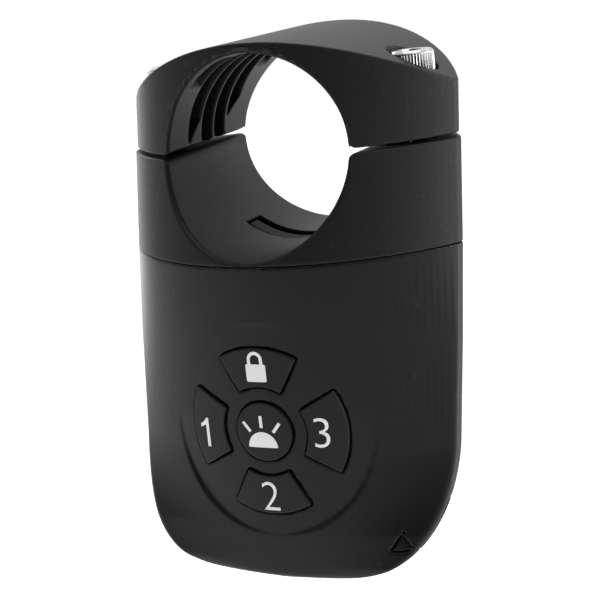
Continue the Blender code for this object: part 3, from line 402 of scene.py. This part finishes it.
def pocketTools():  # cored pockets, open to the bore and roofed along the arch
    wall = clamp["pocketWall"] + clamp["capStep"]
    front, _ = lensArcs(*clampLens(crownZ, wall))
    _, back = lensArcs(*clampLens(0.0, wall))
    reach = 0.7 * clamp["bore"]
    yFront = front[1] - math.sqrt(front[0] ** 2 - reach**2)
    yBack = back[1] + math.sqrt(back[0] ** 2 - reach**2)
    count, rib = clamp["pocketsPerSide"], clamp["pocketRib"]
    pitch = (yBack - yFront + rib) / count
    bossX = clamp["screwX"] - 0.0020 - clamp["pocketWall"]
    tools = []
    for i in range(count):
        ends = (yFront + i * pitch, yFront + (i + 1) * pitch - rib)
        widths = []
        for y in ends:
            for z in (0.0, clamp["bore"]):
                halfWidth, f, b, yEnd, _ = clampLens(z, wall)
                (fr, fc), (br, bc) = lensArcs(halfWidth, f, b, yEnd, casing["leastEdge"])
                depth = fr**2 - (fc - y) ** 2 if y < yEnd else br**2 - (y - bc) ** 2
                widths.append(math.sqrt(max(depth, 0.0)))
        outer = min(min(widths), bossX)
        start = clamp["pocketStart"]
        xs = [start + (outer - start) * k / 24 for k in range(25)]
        outline = [(start, 0.0), (outer, 0.0)] + [(x, archZ(x, clamp["pocketRoof"])) for x in reversed(xs)]
        for side in (-1, 1):
            tool = prismObject("pocket", [(side * x, z) for x, z in outline], *ends)
            if clamp["pocketTips"][i]:
                tip, full = clamp["pocketTips"][i]
                low, high = ends
                wedge = [(low, tip), (high, full), (high, 0.03), (low, 0.03)]
                far = casing["halfWidth"]
                rings = [[(x, y, z) for y, z in wedge] for x in (-far, far)]
                carve(tool, loftObject("pocket_foot", rings), "INTERSECT")
            tools.append(tool)
    return tools


# seats and holes for the two screws that hold the housing
caseScrews = {
    "setback": 0.0022,
    "sink": 0.0004,
    "seatRadius": 0.00235,
    "seatBelow": 0.0018,
    "seatAbove": 0.004,
    "holeRadius": 0.00145,
    "holeDepth": 0.03,
}


def makeCradle():
    through = casing["cutReach"]
    low = housing["seam"] + housing["seamGap"] / 2
    cradle = loftObject("cradle_shell", [clampRing(z, 0.0) for z in (low, 0.001)])
    carve(cradle, prismObject("bore_below", boreOutline(-1), -through, through))
    carve(cradle, lipTool("lip_below"))
    outer = clamp["bore"] + clamp["slotDepth"]
    spread = math.radians(clamp["slotHalfAngle"])
    down = -math.pi / 2
    outline = arc((0, 0), outer, down - spread, down + spread, 40)
    outline += arc((0, 0), clamp["bore"] - 0.002, down + spread, down - spread, 40)
    half = clamp["slotWidth"] / 2
    plug = loftObject("plug", [clampRing(z, clamp["plugInset"]) for z in clamp["plugHeights"]])
    carve(cradle, plug, "UNION")
    carve(cradle, prismObject("strip_slot", outline, -half, half))
    for side in (-1, 1):
        x = side * clamp["screwX"]
        mouth = (x, 0, clamp["holeTop"])
        carve(cradle, rodObject("insert_seat", (x, 0, clamp["insertFloor"]), mouth, clamp["insertRadius"]))
        carve(cradle, rodObject("pilot", (x, 0, clamp["pilotFloor"]), mouth, clamp["screwHole"]))
    leanLine = Vector((0, casing["lean"], 1)).normalized()
    for name in ("housing_screw_left", "housing_screw_right"):
        low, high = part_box(name)
        x = (low[0] + high[0]) / 2
        top = Vector((x, high[1] - caseScrews["setback"], high[2] - caseScrews["sink"]))
        below, above = caseScrews["seatBelow"] * leanLine, caseScrews["seatAbove"] * leanLine
        carve(cradle, rodObject("head_seat", top - below, top + above, caseScrews["seatRadius"]))
        foot = top - caseScrews["holeDepth"] * leanLine
        carve(cradle, rodObject("shank_hole", foot, top, caseScrews["holeRadius"], 32))
    return cradle


capShell = soften(makeCap(), *clamp["skin"])
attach(capShell, "cap")
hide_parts("clamp_cap")
print("cap done", len(capShell.data.polygons))

cradleShell = soften(makeCradle(), *clamp["skin"])
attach(cradleShell, "housing")
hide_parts("cradle")
print("cradle done", len(cradleShell.data.polygons))


# the keys, the dished field round them and their openings
keypad = {
    "drop": 0.0269,
    "centreRadius": 0.0049,
    "inner": 0.0075,
    "outer": 0.0139,
    "innerHalf": 0.0036,
    "outerHalf": 0.0068,
    "gap": 0.00018,
    "proud": 0.0003,
    "fieldRadius": 0.0178,
    "fieldDepth": 0.00008,
    "openingAhead": 0.005,
    "openingDepth": 0.0106,
    "capAhead": 0.0025,
    "capDepth": 0.0050,
    "skin": (0.00012, 6, 0.35),
}
keypadZ = housing["seam"] - keypad["drop"]
keys = {"lock_key": 0, "key_one": 1, "key_two": 2, "key_three": 3, "alarm_key": None}


def keyOutline(quarter, grow=0.0):
    if quarter is None:
        return arc((0, keypadZ), keypad["centreRadius"] + grow, 0, 2 * math.pi, 72)[:-1]
    inner, outer = keypad["inner"] - grow, keypad["outer"] + grow
    innerHalf = math.asin((keypad["innerHalf"] + grow) / inner)
    outerHalf = math.asin((keypad["outerHalf"] + grow) / outer)
    up = math.pi / 2
    outline = arc((0, 0), outer, up - outerHalf, up + outerHalf, 32)
    outline += arc((0, 0), inner, up + innerHalf, up - innerHalf, 20)
    turn = quarter * math.pi / 2
    cos, sin = math.cos(turn), math.sin(turn)
    return [(x * cos - z * sin, x * sin + z * cos + keypadZ) for x, z in outline]


def aheadOfFace(name, offset):  # everything in front of a surface parallel to the housing's face
    (radius, centre), _ = lensArcs(*housingLens(keypadZ, 0.0))
    centre += offset
    spread = math.asin(min(0.9, 1.2 * keypad["fieldRadius"] / radius))
    down = -math.pi / 2
    outline = arc((0, centre), radius, down - spread, down + spread, 90)
    outline += [(outline[-1][0], frontY - 0.02), (outline[0][0], frontY - 0.02)]
    reach = 1.5 * keypad["fieldRadius"]
    return loftObject(name, [[(x, y, z) for x, y in outline] for z in (keypadZ - reach, keypadZ + reach)])


def makeHousing():
    top = housing["seam"] - housing["seamGap"] / 2
    shell = loftObject("housing_shell", housingRings(0.0, top))
    carve(shell, loftObject("cavity", housingRings(housing["wall"], 0.0)))
    rim = [clampRing(z, housing["rimWall"]) for z in (housing["seam"] - housing["rimDepth"], 0.0)]
    carve(shell, loftObject("rim", rim))
    field = rodObject("field", (0, 2 * frontY, keypadZ), (0, 0, keypadZ), keypad["fieldRadius"], 120)
    carve(field, aheadOfFace("field_floor", keypad["fieldDepth"]), "INTERSECT")
    carve(shell, field)
    ends = (frontY - keypad["openingAhead"], frontY + keypad["openingDepth"])
    for quarter in keys.values():
        carve(shell, prismObject("opening", keyOutline(quarter, keypad["gap"]), *ends))
    carve(shell, portTool("port_window", 0.0))
    return shell


# the siren's louvred window in the right bottom corner
port = {
    "turn": 30,
    "lead": 0.0013,
    "width": 0.0070,
    "bottom": 0.0060,
    "top": 0.0135,
    "frame": 0.0013,
    "depth": 0.0036,
    "slots": 3,
    "slotWidth": 0.0010,
    "clearance": 0.0003,
    "steps": 16,
    "outside": 0.006,
    "slotReach": 0.007,
    "skin": (0.00012, 2, 0.4),
}


def portBlock(name, along, through, grow):
    turn = math.radians(port["turn"])
    outward = Vector((math.cos(turn), math.sin(turn), 0.0))
    backward = Vector((-math.sin(turn), math.cos(turn), 0.0))
    low, high = bottomZ + port["bottom"] - grow, bottomZ + port["top"] + grow
    rings = []
    for i in range(port["steps"] + 1):
        z = low + (high - low) * i / port["steps"]
        halfWidth, _, _, yEnd, endRadius = housingLens(z, 0.0)
        edge = Vector((halfWidth - endRadius, yEnd, z))
        near, far = (edge + distance * backward for distance in along)
        ring = [near + distance * outward for distance in through]
        rings.append(ring + [far + distance * outward for distance in reversed(through)])
    return loftObject(name, rings)


def portTool(name, grow):
    along = (-port["lead"] - grow, port["width"] + grow)
    return portBlock(name, along, (-port["depth"] - grow, port["outside"]), grow)


def makeGrille():
    gap = port["clearance"]
    grille = portTool("port_louvre", -gap)
    carve(grille, loftObject("outside", housingRings(0.0, housing["seam"])), "INTERSECT")
    carve(grille, loftObject("inside", housingRings(housing["wall"], 0.0)))
    rib = (port["lead"] + port["width"] - 2 * gap - port["slots"] * port["slotWidth"]) / (port["slots"] + 1)
    for i in range(port["slots"]):
        start = rib - port["lead"] + gap + i * (rib + port["slotWidth"])
        along = (start, start + port["slotWidth"])
        carve(grille, portBlock("slot", along, (-port["slotReach"], port["slotReach"]), -port["frame"]))
    return grille


housingShell = soften(makeHousing(), *housing["skin"])
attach(housingShell, "housing")
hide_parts("housing")
print("housing done", len(housingShell.data.polygons))

portLouvre = soften(makeGrille(), *port["skin"])
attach(portLouvre, "housing")
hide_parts("siren_grille")


keyCaps = {}
for name, quarter in keys.items():
    ends = (frontY - keypad["capAhead"], frontY + keypad["capDepth"])
    keyCap = prismObject(name + "_cap", keyOutline(quarter), *ends)
    carve(keyCap, aheadOfFace("key_face", -keypad["proud"]))
    soften(keyCap, *keypad["skin"])
    keyCaps[name] = keyCap
    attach(keyCap, name)
    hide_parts(name)
print("keys done")


# white legends, each laid on its key's face
legends = {
    "thickness": 0.00006,
    "digitHeight": 0.0049,
    "digitThinning": -0.012,
    "stroke": 0.00060,
    "sink": -0.00002,
    "lockBody": (0.0035, 0.0029),
    "lockDrop": 0.00105,
    "lockCorner": 0.00025,
    "shackle": (0.00135, 0.00082),
    "shackleBase": 0.0004,
    "shackleSpring": 0.00115,
    "domeRadius": 0.0026,
    "rayAngles": (52, 90, 128),
    "rayHalfWidth": 0.00026,
    "raySpan": (0.0033, 0.0053),
    "oneOffset": 0.0009,
    "oneTip": 0.0004,
    "flagReach": 0.0011,
    "flagDrops": (0.0007, 0.00115, 0.00172),
}


def layOnKey(name, bm, keyName):  # x, z flat shape to a thin skin on the key
    bmesh.ops.triangulate(bm, faces=bm.faces)
    bmesh.ops.subdivide_edges(bm, edges=bm.edges, cuts=3, use_grid_fill=True)
    bmesh.ops.triangulate(bm, faces=bm.faces)
    flat = bm.faces[:]
    made = bmesh.ops.extrude_face_region(bm, geom=flat)
    back = {v for v in made["geom"] if isinstance(v, bmesh.types.BMVert)}
    for v in bm.verts:
        lift = legends["sink"] if v in back else legends["thickness"]
        v.co.y = faceY(v.co.x, v.co.z) - keypad["proud"] - lift
    obj = newObject(name, bm)
    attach(obj, keyName)
    return obj


def addPolygon(bm, points):
    bm.faces.new([bm.verts.new((x, 0, z)) for x, z in points])


def digitShape(character, x, z, height):
    text = bpy.data.curves.new("digit", "FONT")
    text.body = character
    text.resolution_u = 6
    text.offset = legends["digitThinning"]
    obj = bpy.data.objects.new("digit", text)
    bpy.context.scene.collection.objects.link(obj)
    graph = bpy.context.evaluated_depsgraph_get()
    mesh = bpy.data.meshes.new_from_object(obj.evaluated_get(graph))
    bpy.data.objects.remove(obj, do_unlink=True)
    bm = bmesh.new()
    bm.from_mesh(mesh)
    bpy.data.meshes.remove(mesh)
    xs = [v.co.x for v in bm.verts]
    ys = [v.co.y for v in bm.verts]
    scale = height / (max(ys) - min(ys))
    middleX, middleY = (max(xs) + min(xs)) / 2, (max(ys) + min(ys)) / 2
    for v in bm.verts:
        v.co = (x + (v.co.x - middleX) * scale, 0, z + (v.co.y - middleY) * scale)
    bmesh.ops.remove_doubles(bm, verts=bm.verts, dist=1e-6)
    return bm


def roundedBox(width, height, x, z, radius):
    points = []
    for cx, cz, a in ((1, -1, -90), (1, 1, 0), (-1, 1, 90), (-1, -1, 180)):
        centre = (x + cx * (width / 2 - radius), z + cz * (height / 2 - radius))
        points += arc(centre, radius, math.radians(a), math.radians(a + 90), 6)
    return points


def lockShape(x, z):
    bm = bmesh.new()
    addPolygon(bm, roundedBox(*legends["lockBody"], x, z - legends["lockDrop"], legends["lockCorner"]))
    outer, inner = legends["shackle"]
    base, spring = z + legends["shackleBase"], z + legends["shackleSpring"]
    outline = [(x + outer, base)] + arc((x, spring), outer, 0, math.pi, 16) + [(x - outer, base)]
    outline += [(x - inner, base)] + arc((x, spring), inner, math.pi, 0, 16) + [(x + inner, base)]
    addPolygon(bm, outline)
    return bm


def sirenShape(x, z):
    bm = bmesh.new()
    addPolygon(bm, arc((x, z), legends["domeRadius"], 0, math.pi, 32))
    for angle in legends["rayAngles"]:
        along = Vector((math.cos(math.radians(angle)), math.sin(math.radians(angle))))
        across = Vector((-along.y, along.x)) * legends["rayHalfWidth"]
        near, far = (Vector((x, z)) + along * reach for reach in legends["raySpan"])
        addPolygon(bm, [near + across, near - across, far - across, far + across])
    return bm


def oneShape(x, z):  # a stem with a short flag
    bm = bmesh.new()
    half, wide = legends["digitHeight"] / 2, legends["stroke"]
    right = x + legends["oneOffset"]
    tip, reach = legends["oneTip"], legends["flagReach"]
    upper, middle, lower = legends["flagDrops"]
    outline = [(right - wide, z - half), (right, z - half), (right, z + half), (right - tip, z + half)]
    outline += [(right - wide - tip, z + half - upper), (right - wide - reach, z + half - middle)]
    outline += [(right - wide - reach, z + half - lower), (right - wide, z + half - middle)]
    addPolygon(bm, outline)
    return bm


shapes = {
    "lock_legend": (lockShape(-0.0001, -0.0325), "lock_key"),
    "siren_legend": (sirenShape(-0.0003, -0.0460), "alarm_key"),
    "digit_one": (oneShape(-0.0116, -0.0444), "key_one"),
    "digit_two": (digitShape("2", 0.0000, -0.0543, legends["digitHeight"]), "key_two"),
    "digit_three": (digitShape("3", 0.0098, -0.0434, legends["digitHeight"]), "key_three"),
}
printedLegends = [layOnKey(name, bm, keyName) for name, (bm, keyName) in shapes.items()]
print("legends done")


# clamp screws with knurled socket heads
screws = {
    "head": 0.0035,
    "headHeight": 0.0040,
    "shank": 0.0020,
    "length": 0.0200,
    "knurls": 44,
    "knurlDepth": 0.00022,
    "chamfer": 0.0004,
    "hex": 0.00173,
    "hexDepth": 0.0022,
    "pitch": 0.0007,
}


def makeScrew(name, x, seat):
    top = seat + screws["headHeight"]
    steps = screws["knurls"] * 4
    head, cut = screws["head"], screws["chamfer"]
    levels = [(seat, head - 0.0002, 0), (seat + 0.0002, head, 0), (seat + 0.0006, head, 1)]
    levels += [(top - cut - 0.0002, head, 1), (top - cut, head, 0), (top, head - cut, 0)]
    rings = []
    for z, radius, knurled in levels:
        ring = []
        for i in range(steps):
            a = 2 * math.pi * i / steps
            wave = 0.5 - 0.5 * math.cos(a * screws["knurls"])
            r = radius - knurled * screws["knurlDepth"] * wave
            ring.append((x + r * math.cos(a), r * math.sin(a), z))
        rings.append(ring)
    screw = loftObject(name, rings)
    shankLevels = [(seat - screws["length"], screws["shank"] - 0.0004)]
    turns = int(screws["length"] / screws["pitch"])
    for i in range(turns * 2 - 2):
        z = seat - screws["length"] + 0.0004 + i * screws["pitch"] / 2
        shankLevels.append((z, screws["shank"] - (0.00022 if i % 2 else 0.0)))
    shankLevels.append((seat + 0.001, screws["shank"] - 0.0001))
    shankRings = []
    for z, r in shankLevels:
        circle = arc((x, 0), r, 0, 2 * math.pi, 48)[:-1]
        shankRings.append([(px, py, z) for px, py in circle])
    carve(screw, loftObject("shank", shankRings), "UNION")
    socket = rodObject("socket", (x, 0, top - screws["hexDepth"]), (x, 0, top + 0.001), screws["hex"], 6)
    carve(screw, socket)
    bevel = screw.modifiers.new("edges", "BEVEL")
    bevel.width = 0.00006
    bevel.segments = 2
    bevel.limit_method = "ANGLE"
    bevel.angle_limit = math.radians(40)
    settle(screw)
    screw.data.shade_smooth()
    smoothEdges(screw, 35)
    return screw


def smoothEdges(obj, degrees):
    obj.data.set_sharp_from_angle(angle=math.radians(degrees))


clampScrews = {}
for word, side in (("right", 1), ("left", -1)):
    low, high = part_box("clamp_screw_" + word)
    screw = makeScrew("socket_screw_" + word, side * clamp["screwX"], high[2] - screws["headHeight"])
    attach(screw, "screw_" + word)
    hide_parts("clamp_screw_" + word)
    clampScrews[word] = screw
print("screws done")


# rubber strip in the bore's floor
strip = {
    "clearance": 0.0004,
    "arcSteps": 60,
    "skin": (0.0001, 3, 0.4),
}


def makeStrip():
    low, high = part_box("grip_strip")
    outer = -low[2]
    inner = clamp["bore"] + strip["clearance"]
    spread = math.asin(high[0] / outer)
    down = -math.pi / 2
    outline = arc((0, 0), outer, down - spread, down + spread, strip["arcSteps"])
    outline += arc((0, 0), inner, down + spread, down - spread, strip["arcSteps"])
    return prismObject("bore_strip", outline, low[1], high[1])


boreStrip = soften(makeStrip(), *strip["skin"])
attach(boreStrip, "housing")
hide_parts("grip_strip")


effects = {
    "wearStart": 0.54,
    "wearWidth": 0.10,
    "dustScale": 1400.0,
    "dustStart": 0.72,
    "dustSharpness": 12.0,
    "dustColour": (0.12, 0.12, 0.12),
}


def newGroup(name, inputs, outputs):
    group = bpy.data.node_groups.new(name, "ShaderNodeTree")
    for label, value in inputs:
        socket = group.interface.new_socket(label, in_out="INPUT", socket_type="NodeSocketFloat")
        socket.default_value = value
    for label in outputs:
        group.interface.new_socket(label, in_out="OUTPUT", socket_type="NodeSocketFloat")
    start = group.nodes.new("NodeGroupInput")
    end = group.nodes.new("NodeGroupOutput")
    return group, start, end


def mathNode(group, operation, a, b, clampIt=False):
    node = group.nodes.new("ShaderNodeMath")
    node.operation = operation
    node.use_clamp = clampIt
    for socket, value in zip(node.inputs, (a, b)):
        if isinstance(value, bpy.types.NodeSocket):
            group.links.new(value, socket)
        else:
            socket.default_value = value
    return node.outputs[0]


def makeGrainGroup():  # fine moulded texture with slow unevenness
    inputs = (("Scale", 3000.0), ("Slow Scale", 60.0))
    group, start, end = newGroup("moulded grain", inputs, ("Height", "Tone"))
    place = group.nodes.new("ShaderNodeTexCoord")
    fine = group.nodes.new("ShaderNodeTexNoise")
    fine.inputs["Detail"].default_value = 3.0
    slow = group.nodes.new("ShaderNodeTexNoise")
    slow.inputs["Detail"].default_value = 2.0
    for node, label in ((fine, "Scale"), (slow, "Slow Scale")):
        group.links.new(place.outputs["Object"], node.inputs["Vector"])
        group.links.new(start.outputs[label], node.inputs["Scale"])
    group.links.new(fine.outputs["Fac"], end.inputs["Height"])
    group.links.new(slow.outputs["Fac"], end.inputs["Tone"])
    return group


def makeWearGroup():  # bright where an outer edge rubs
    group, start, end = newGroup("edge wear", (("Start", 0.53), ("Width", 0.08)), ("Mask",))
    geometry = group.nodes.new("ShaderNodeNewGeometry")
    past = mathNode(group, "SUBTRACT", geometry.outputs["Pointiness"], start.outputs["Start"])
    group.links.new(mathNode(group, "DIVIDE", past, start.outputs["Width"], True), end.inputs["Mask"])
    return group


def makeDustGroup():  # sparse pale specks
    group, start, end = newGroup("dust", (("Scale", 1400.0), ("Amount", 0.2)), ("Mask",))
    place = group.nodes.new("ShaderNodeTexCoord")
    cells = group.nodes.new("ShaderNodeTexNoise")
    cells.inputs["Detail"].default_value = 1.0
    group.links.new(place.outputs["Object"], cells.inputs["Vector"])
    group.links.new(start.outputs["Scale"], cells.inputs["Scale"])
    high = mathNode(group, "SUBTRACT", cells.outputs["Fac"], effects["dustStart"])
    sharp = mathNode(group, "MULTIPLY", high, effects["dustSharpness"], True)
    group.links.new(mathNode(group, "MULTIPLY", sharp, start.outputs["Amount"]), end.inputs["Mask"])
    return group


grainGroup = makeGrainGroup()
wearGroup = makeWearGroup()
dustGroup = makeDustGroup()


def groupNode(tree, group, values):
    node = tree.nodes.new("ShaderNodeGroup")
    node.node_tree = group
    for label, value in values.items():
        node.inputs[label].default_value = value
    return node


def mixColour(tree, mask, a, b):
    node = tree.nodes.new("ShaderNodeMix")
    node.data_type = "RGBA"
    tree.links.new(mask, node.inputs["Factor"])
    for socket, value in ((node.inputs["A"], a), (node.inputs["B"], b)):
        if isinstance(value, bpy.types.NodeSocket):
            tree.links.new(value, socket)
        else:
            socket.default_value = (*value, 1.0)
    return node.outputs["Result"]


def makeFinish(name, colour, second, roughness, spread, metallic=0.0, grain=3000.0, depth=0.00002,
               wear=None, dust=0.0, specular=0.5, slow=60.0, coat=0.0):
    material = bpy.data.materials.new(name)
    material.use_nodes = True
    tree = material.node_tree
    shader = tree.nodes["Principled BSDF"]
    shader.inputs["Metallic"].default_value = metallic
    shader.inputs["Specular IOR Level"].default_value = specular
    shader.inputs["Coat Weight"].default_value = coat
    grainNode = groupNode(tree, grainGroup, {"Scale": grain, "Slow Scale": slow})
    colourOut = mixColour(tree, grainNode.outputs["Tone"], colour, second)
    if wear:
        wearNode = groupNode(tree, wearGroup, {"Start": effects["wearStart"], "Width": effects["wearWidth"]})
        colourOut = mixColour(tree, wearNode.outputs["Mask"], colourOut, wear)
    if dust:
        dustNode = groupNode(tree, dustGroup, {"Scale": effects["dustScale"], "Amount": dust})
        colourOut = mixColour(tree, dustNode.outputs["Mask"], colourOut, effects["dustColour"])
    tree.links.new(colourOut, shader.inputs["Base Color"])
    rough = tree.nodes.new("ShaderNodeMapRange")
    rough.inputs["To Min"].default_value = roughness - spread
    rough.inputs["To Max"].default_value = roughness + spread
    tree.links.new(grainNode.outputs["Height"], rough.inputs["Value"])
    tree.links.new(rough.outputs["Result"], shader.inputs["Roughness"])
    bump = tree.nodes.new("ShaderNodeBump")
    bump.inputs["Strength"].default_value = 1.0
    bump.inputs["Distance"].default_value = depth
    tree.links.new(grainNode.outputs["Height"], bump.inputs["Height"])
    tree.links.new(bump.outputs["Normal"], shader.inputs["Normal"])
    return material


finishes = {
    "casing_plastic": makeFinish("matte casing", (0.0075, 0.0075, 0.0078), (0.010, 0.010, 0.0103),
                                 0.50, 0.08, grain=3200, depth=0.00003, wear=(0.02, 0.02, 0.02),
                                 dust=0.08, specular=0.2),
    "housing_plastic": makeFinish("satin housing", (0.0062, 0.0062, 0.0065), (0.0080, 0.0080, 0.0083),
                                  0.40, 0.05, grain=3600, depth=0.000012, wear=(0.014, 0.014, 0.014),
                                  dust=0.03, specular=0.2),
    "key_plastic": makeFinish("keycaps", (0.0072, 0.0072, 0.0075), (0.0092, 0.0092, 0.0095), 0.46, 0.05,
                              grain=3600, depth=0.000014, wear=(0.016, 0.016, 0.016), specular=0.2),
    "plated_steel": makeFinish("bright plating", (0.42, 0.42, 0.43), (0.52, 0.52, 0.53), 0.24, 0.05,
                               metallic=1.0, grain=5200, depth=0.000004, wear=(0.9, 0.9, 0.9)),
    "black_steel": makeFinish("blackened steel", (0.10, 0.10, 0.11), (0.14, 0.14, 0.15), 0.38, 0.08,
                              metallic=1.0, grain=4200, depth=0.000006, wear=(0.3, 0.3, 0.3)),
    "brass": makeFinish("turned brass", (0.68, 0.48, 0.19), (0.78, 0.58, 0.26), 0.3, 0.08,
                        metallic=1.0, grain=4200, depth=0.000006, wear=(0.9, 0.75, 0.4)),
    "black_rubber": makeFinish("strip rubber", (0.030, 0.030, 0.031), (0.042, 0.042, 0.043), 0.78, 0.08,
                               grain=2600, depth=0.00003, dust=0.1),
    "grey_silicone": makeFinish("mat silicone", (0.22, 0.22, 0.23), (0.28, 0.28, 0.29), 0.6, 0.08,
                                grain=2200, depth=0.00002),
    "board_laminate": makeFinish("solder mask", (0.02, 0.13, 0.055), (0.035, 0.18, 0.08), 0.35, 0.08,
                                 grain=1500, depth=0.00001, coat=0.3),
    "chip_epoxy": makeFinish("moulded epoxy", (0.022, 0.022, 0.023), (0.035, 0.035, 0.036), 0.5, 0.1,
                             grain=4000, depth=0.00001),
    "cell_jacket": makeFinish("cell sleeve", (0.08, 0.14, 0.33), (0.12, 0.19, 0.40), 0.3, 0.06,
                              grain=1500, depth=0.000006, coat=0.4),
    "tray_plastic": makeFinish("tray plastic", (0.06, 0.06, 0.06), (0.09, 0.09, 0.09), 0.5, 0.08,
                               grain=2600, depth=0.00002),
    "red_insulation": makeFinish("red insulation", (0.5, 0.03, 0.02), (0.65, 0.05, 0.04), 0.4, 0.06,
                                 grain=3000, depth=0.000006),
    "black_insulation": makeFinish("black insulation", (0.02, 0.02, 0.02), (0.035, 0.035, 0.035), 0.4, 0.06,
                                   grain=3000, depth=0.000006),
}
legendWhite = makeFinish("legend print", (0.80, 0.80, 0.80), (0.88, 0.88, 0.88), 0.45, 0.06,
                         grain=5000, depth=0.000003)


def dress(obj, material):
    obj.data.materials.clear()
    obj.data.materials.append(material)


for obj in (capShell, cradleShell):
    dress(obj, finishes["casing_plastic"])
for obj in (housingShell, portLouvre):
    dress(obj, finishes["housing_plastic"])
for obj in keyCaps.values():
    dress(obj, finishes["key_plastic"])
for obj in clampScrews.values():
    dress(obj, finishes["plated_steel"])
for obj in printedLegends:
    dress(obj, legendWhite)
dress(boreStrip, finishes["black_rubber"])

for entry in frame["record"]["subparts"]:
    node = frame["nodes"][entry["node"]]
    for slot in node.material_slots:
        slot.material = finishes[entry["material_slot"]]
print("finishes done")


studio = {
    "floorDrop": 0.30,
    "floorTone": 0.9,
    "frontLight": 0.012,
    "backLight": 1.10,
    "topLight": 0.22,
    "depthRange": (-0.7, 0.5),
    "heightRange": (0.2, 1.0),
    "floorGlow": 0.6,
    "floorRoughness": 0.9,
    "middle": (0, -0.003, -0.025),
    "softboxes": (  # name, place, size, power
        ("overhead", (0.0, 0.05, 0.7), (0.5, 0.4), 1.8),
        ("front fill", (-0.55, -0.6, 0.15), (0.5, 0.7), 0.5),
        ("right rim", (0.62, 0.22, 0.05), (0.25, 0.8), 5.0),
        ("left rim", (-0.55, 0.42, 0.05), (0.2, 0.8), 1.5),
    ),
}

lens = {
    "back": (0.44397611, -0.86604118, 0.22990843),
    "right": (0.89601482, 0.43097161, -0.10686868),
    "up": (-0.00653133, 0.2534485, 0.96732683),
    "place": (0.112148, -0.223702, 0.033575),
    "focal": 91.12,
    "shiftX": 0.0062,
    "shiftY": -0.0152,
}

cameraData = bpy.data.cameras.new("camera")
camera = bpy.data.objects.new("camera", cameraData)
bpy.context.scene.collection.objects.link(camera)
cameraData.sensor_width = 36
cameraData.lens = lens["focal"]
cameraData.shift_x = lens["shiftX"]
cameraData.shift_y = lens["shiftY"]
cameraData.clip_start = 0.01
cameraData.clip_end = 20
turn = Matrix((lens["right"], lens["up"], lens["back"])).transposed()
camera.matrix_world = Matrix.Translation(lens["place"]) @ turn.to_4x4()
bpy.context.scene.camera = camera

bm = bmesh.new()
bmesh.ops.create_grid(bm, x_segments=8, y_segments=8, size=3.0)
floor = newObject("floor", bm)
floor.location.z = bottomZ - studio["floorDrop"]
floorMaterial = bpy.data.materials.new("pale floor")
floorMaterial.use_nodes = True
tree = floorMaterial.node_tree
shader = tree.nodes["Principled BSDF"]
tone = studio["floorTone"]
shader.inputs["Base Color"].default_value = (tone, tone, tone, 1)
shader.inputs["Roughness"].default_value = studio["floorRoughness"]
shader.inputs["Emission Color"].default_value = (1, 1, 1, 1)
shader.inputs["Emission Strength"].default_value = studio["floorGlow"]
dress(floor, floorMaterial)

world = bpy.data.worlds.new("studio")
bpy.context.scene.world = world
world.use_nodes = True
tree = world.node_tree
background = tree.nodes["Background"]
direction = tree.nodes.new("ShaderNodeTexCoord")
split = tree.nodes.new("ShaderNodeSeparateXYZ")
tree.links.new(direction.outputs["Generated"], split.inputs[0])
depth = tree.nodes.new("ShaderNodeMapRange")
depth.inputs["From Min"].default_value, depth.inputs["From Max"].default_value = studio["depthRange"]
depth.inputs["To Min"].default_value = studio["frontLight"]
depth.inputs["To Max"].default_value = studio["backLight"]
tree.links.new(split.outputs["Y"], depth.inputs["Value"])
above = tree.nodes.new("ShaderNodeMapRange")
above.inputs["From Min"].default_value, above.inputs["From Max"].default_value = studio["heightRange"]
above.inputs["To Min"].default_value = 0.0
above.inputs["To Max"].default_value = studio["topLight"]
tree.links.new(split.outputs["Z"], above.inputs["Value"])
total = tree.nodes.new("ShaderNodeMath")
total.operation = "ADD"
tree.links.new(depth.outputs["Result"], total.inputs[0])
tree.links.new(above.outputs["Result"], total.inputs[1])
seen = tree.nodes.new("ShaderNodeLightPath")
choose = tree.nodes.new("ShaderNodeMix")
tree.links.new(seen.outputs["Is Camera Ray"], choose.inputs["Factor"])
tree.links.new(total.outputs[0], choose.inputs["A"])
choose.inputs["B"].default_value = 1.0
tree.links.new(choose.outputs["Result"], background.inputs["Strength"])
background.inputs["Color"].default_value = (1, 1, 1, 1)


def softbox(name, place, aim, size, power):
    light = bpy.data.lights.new(name, "AREA")
    light.shape = "RECTANGLE"
    light.size, light.size_y = size
    light.energy = power
    obj = bpy.data.objects.new(name, light)
    bpy.context.scene.collection.objects.link(obj)
    place, aim = Vector(place), Vector(aim)
    obj.matrix_world = Matrix.Translation(place) @ (place - aim).to_track_quat("Z", "Y").to_matrix().to_4x4()
    return obj


for name, place, size, power in studio["softboxes"]:
    softbox(name, place, studio["middle"], size, power)
bpy.context.scene.view_settings.view_transform = "Standard"
print("studio done")
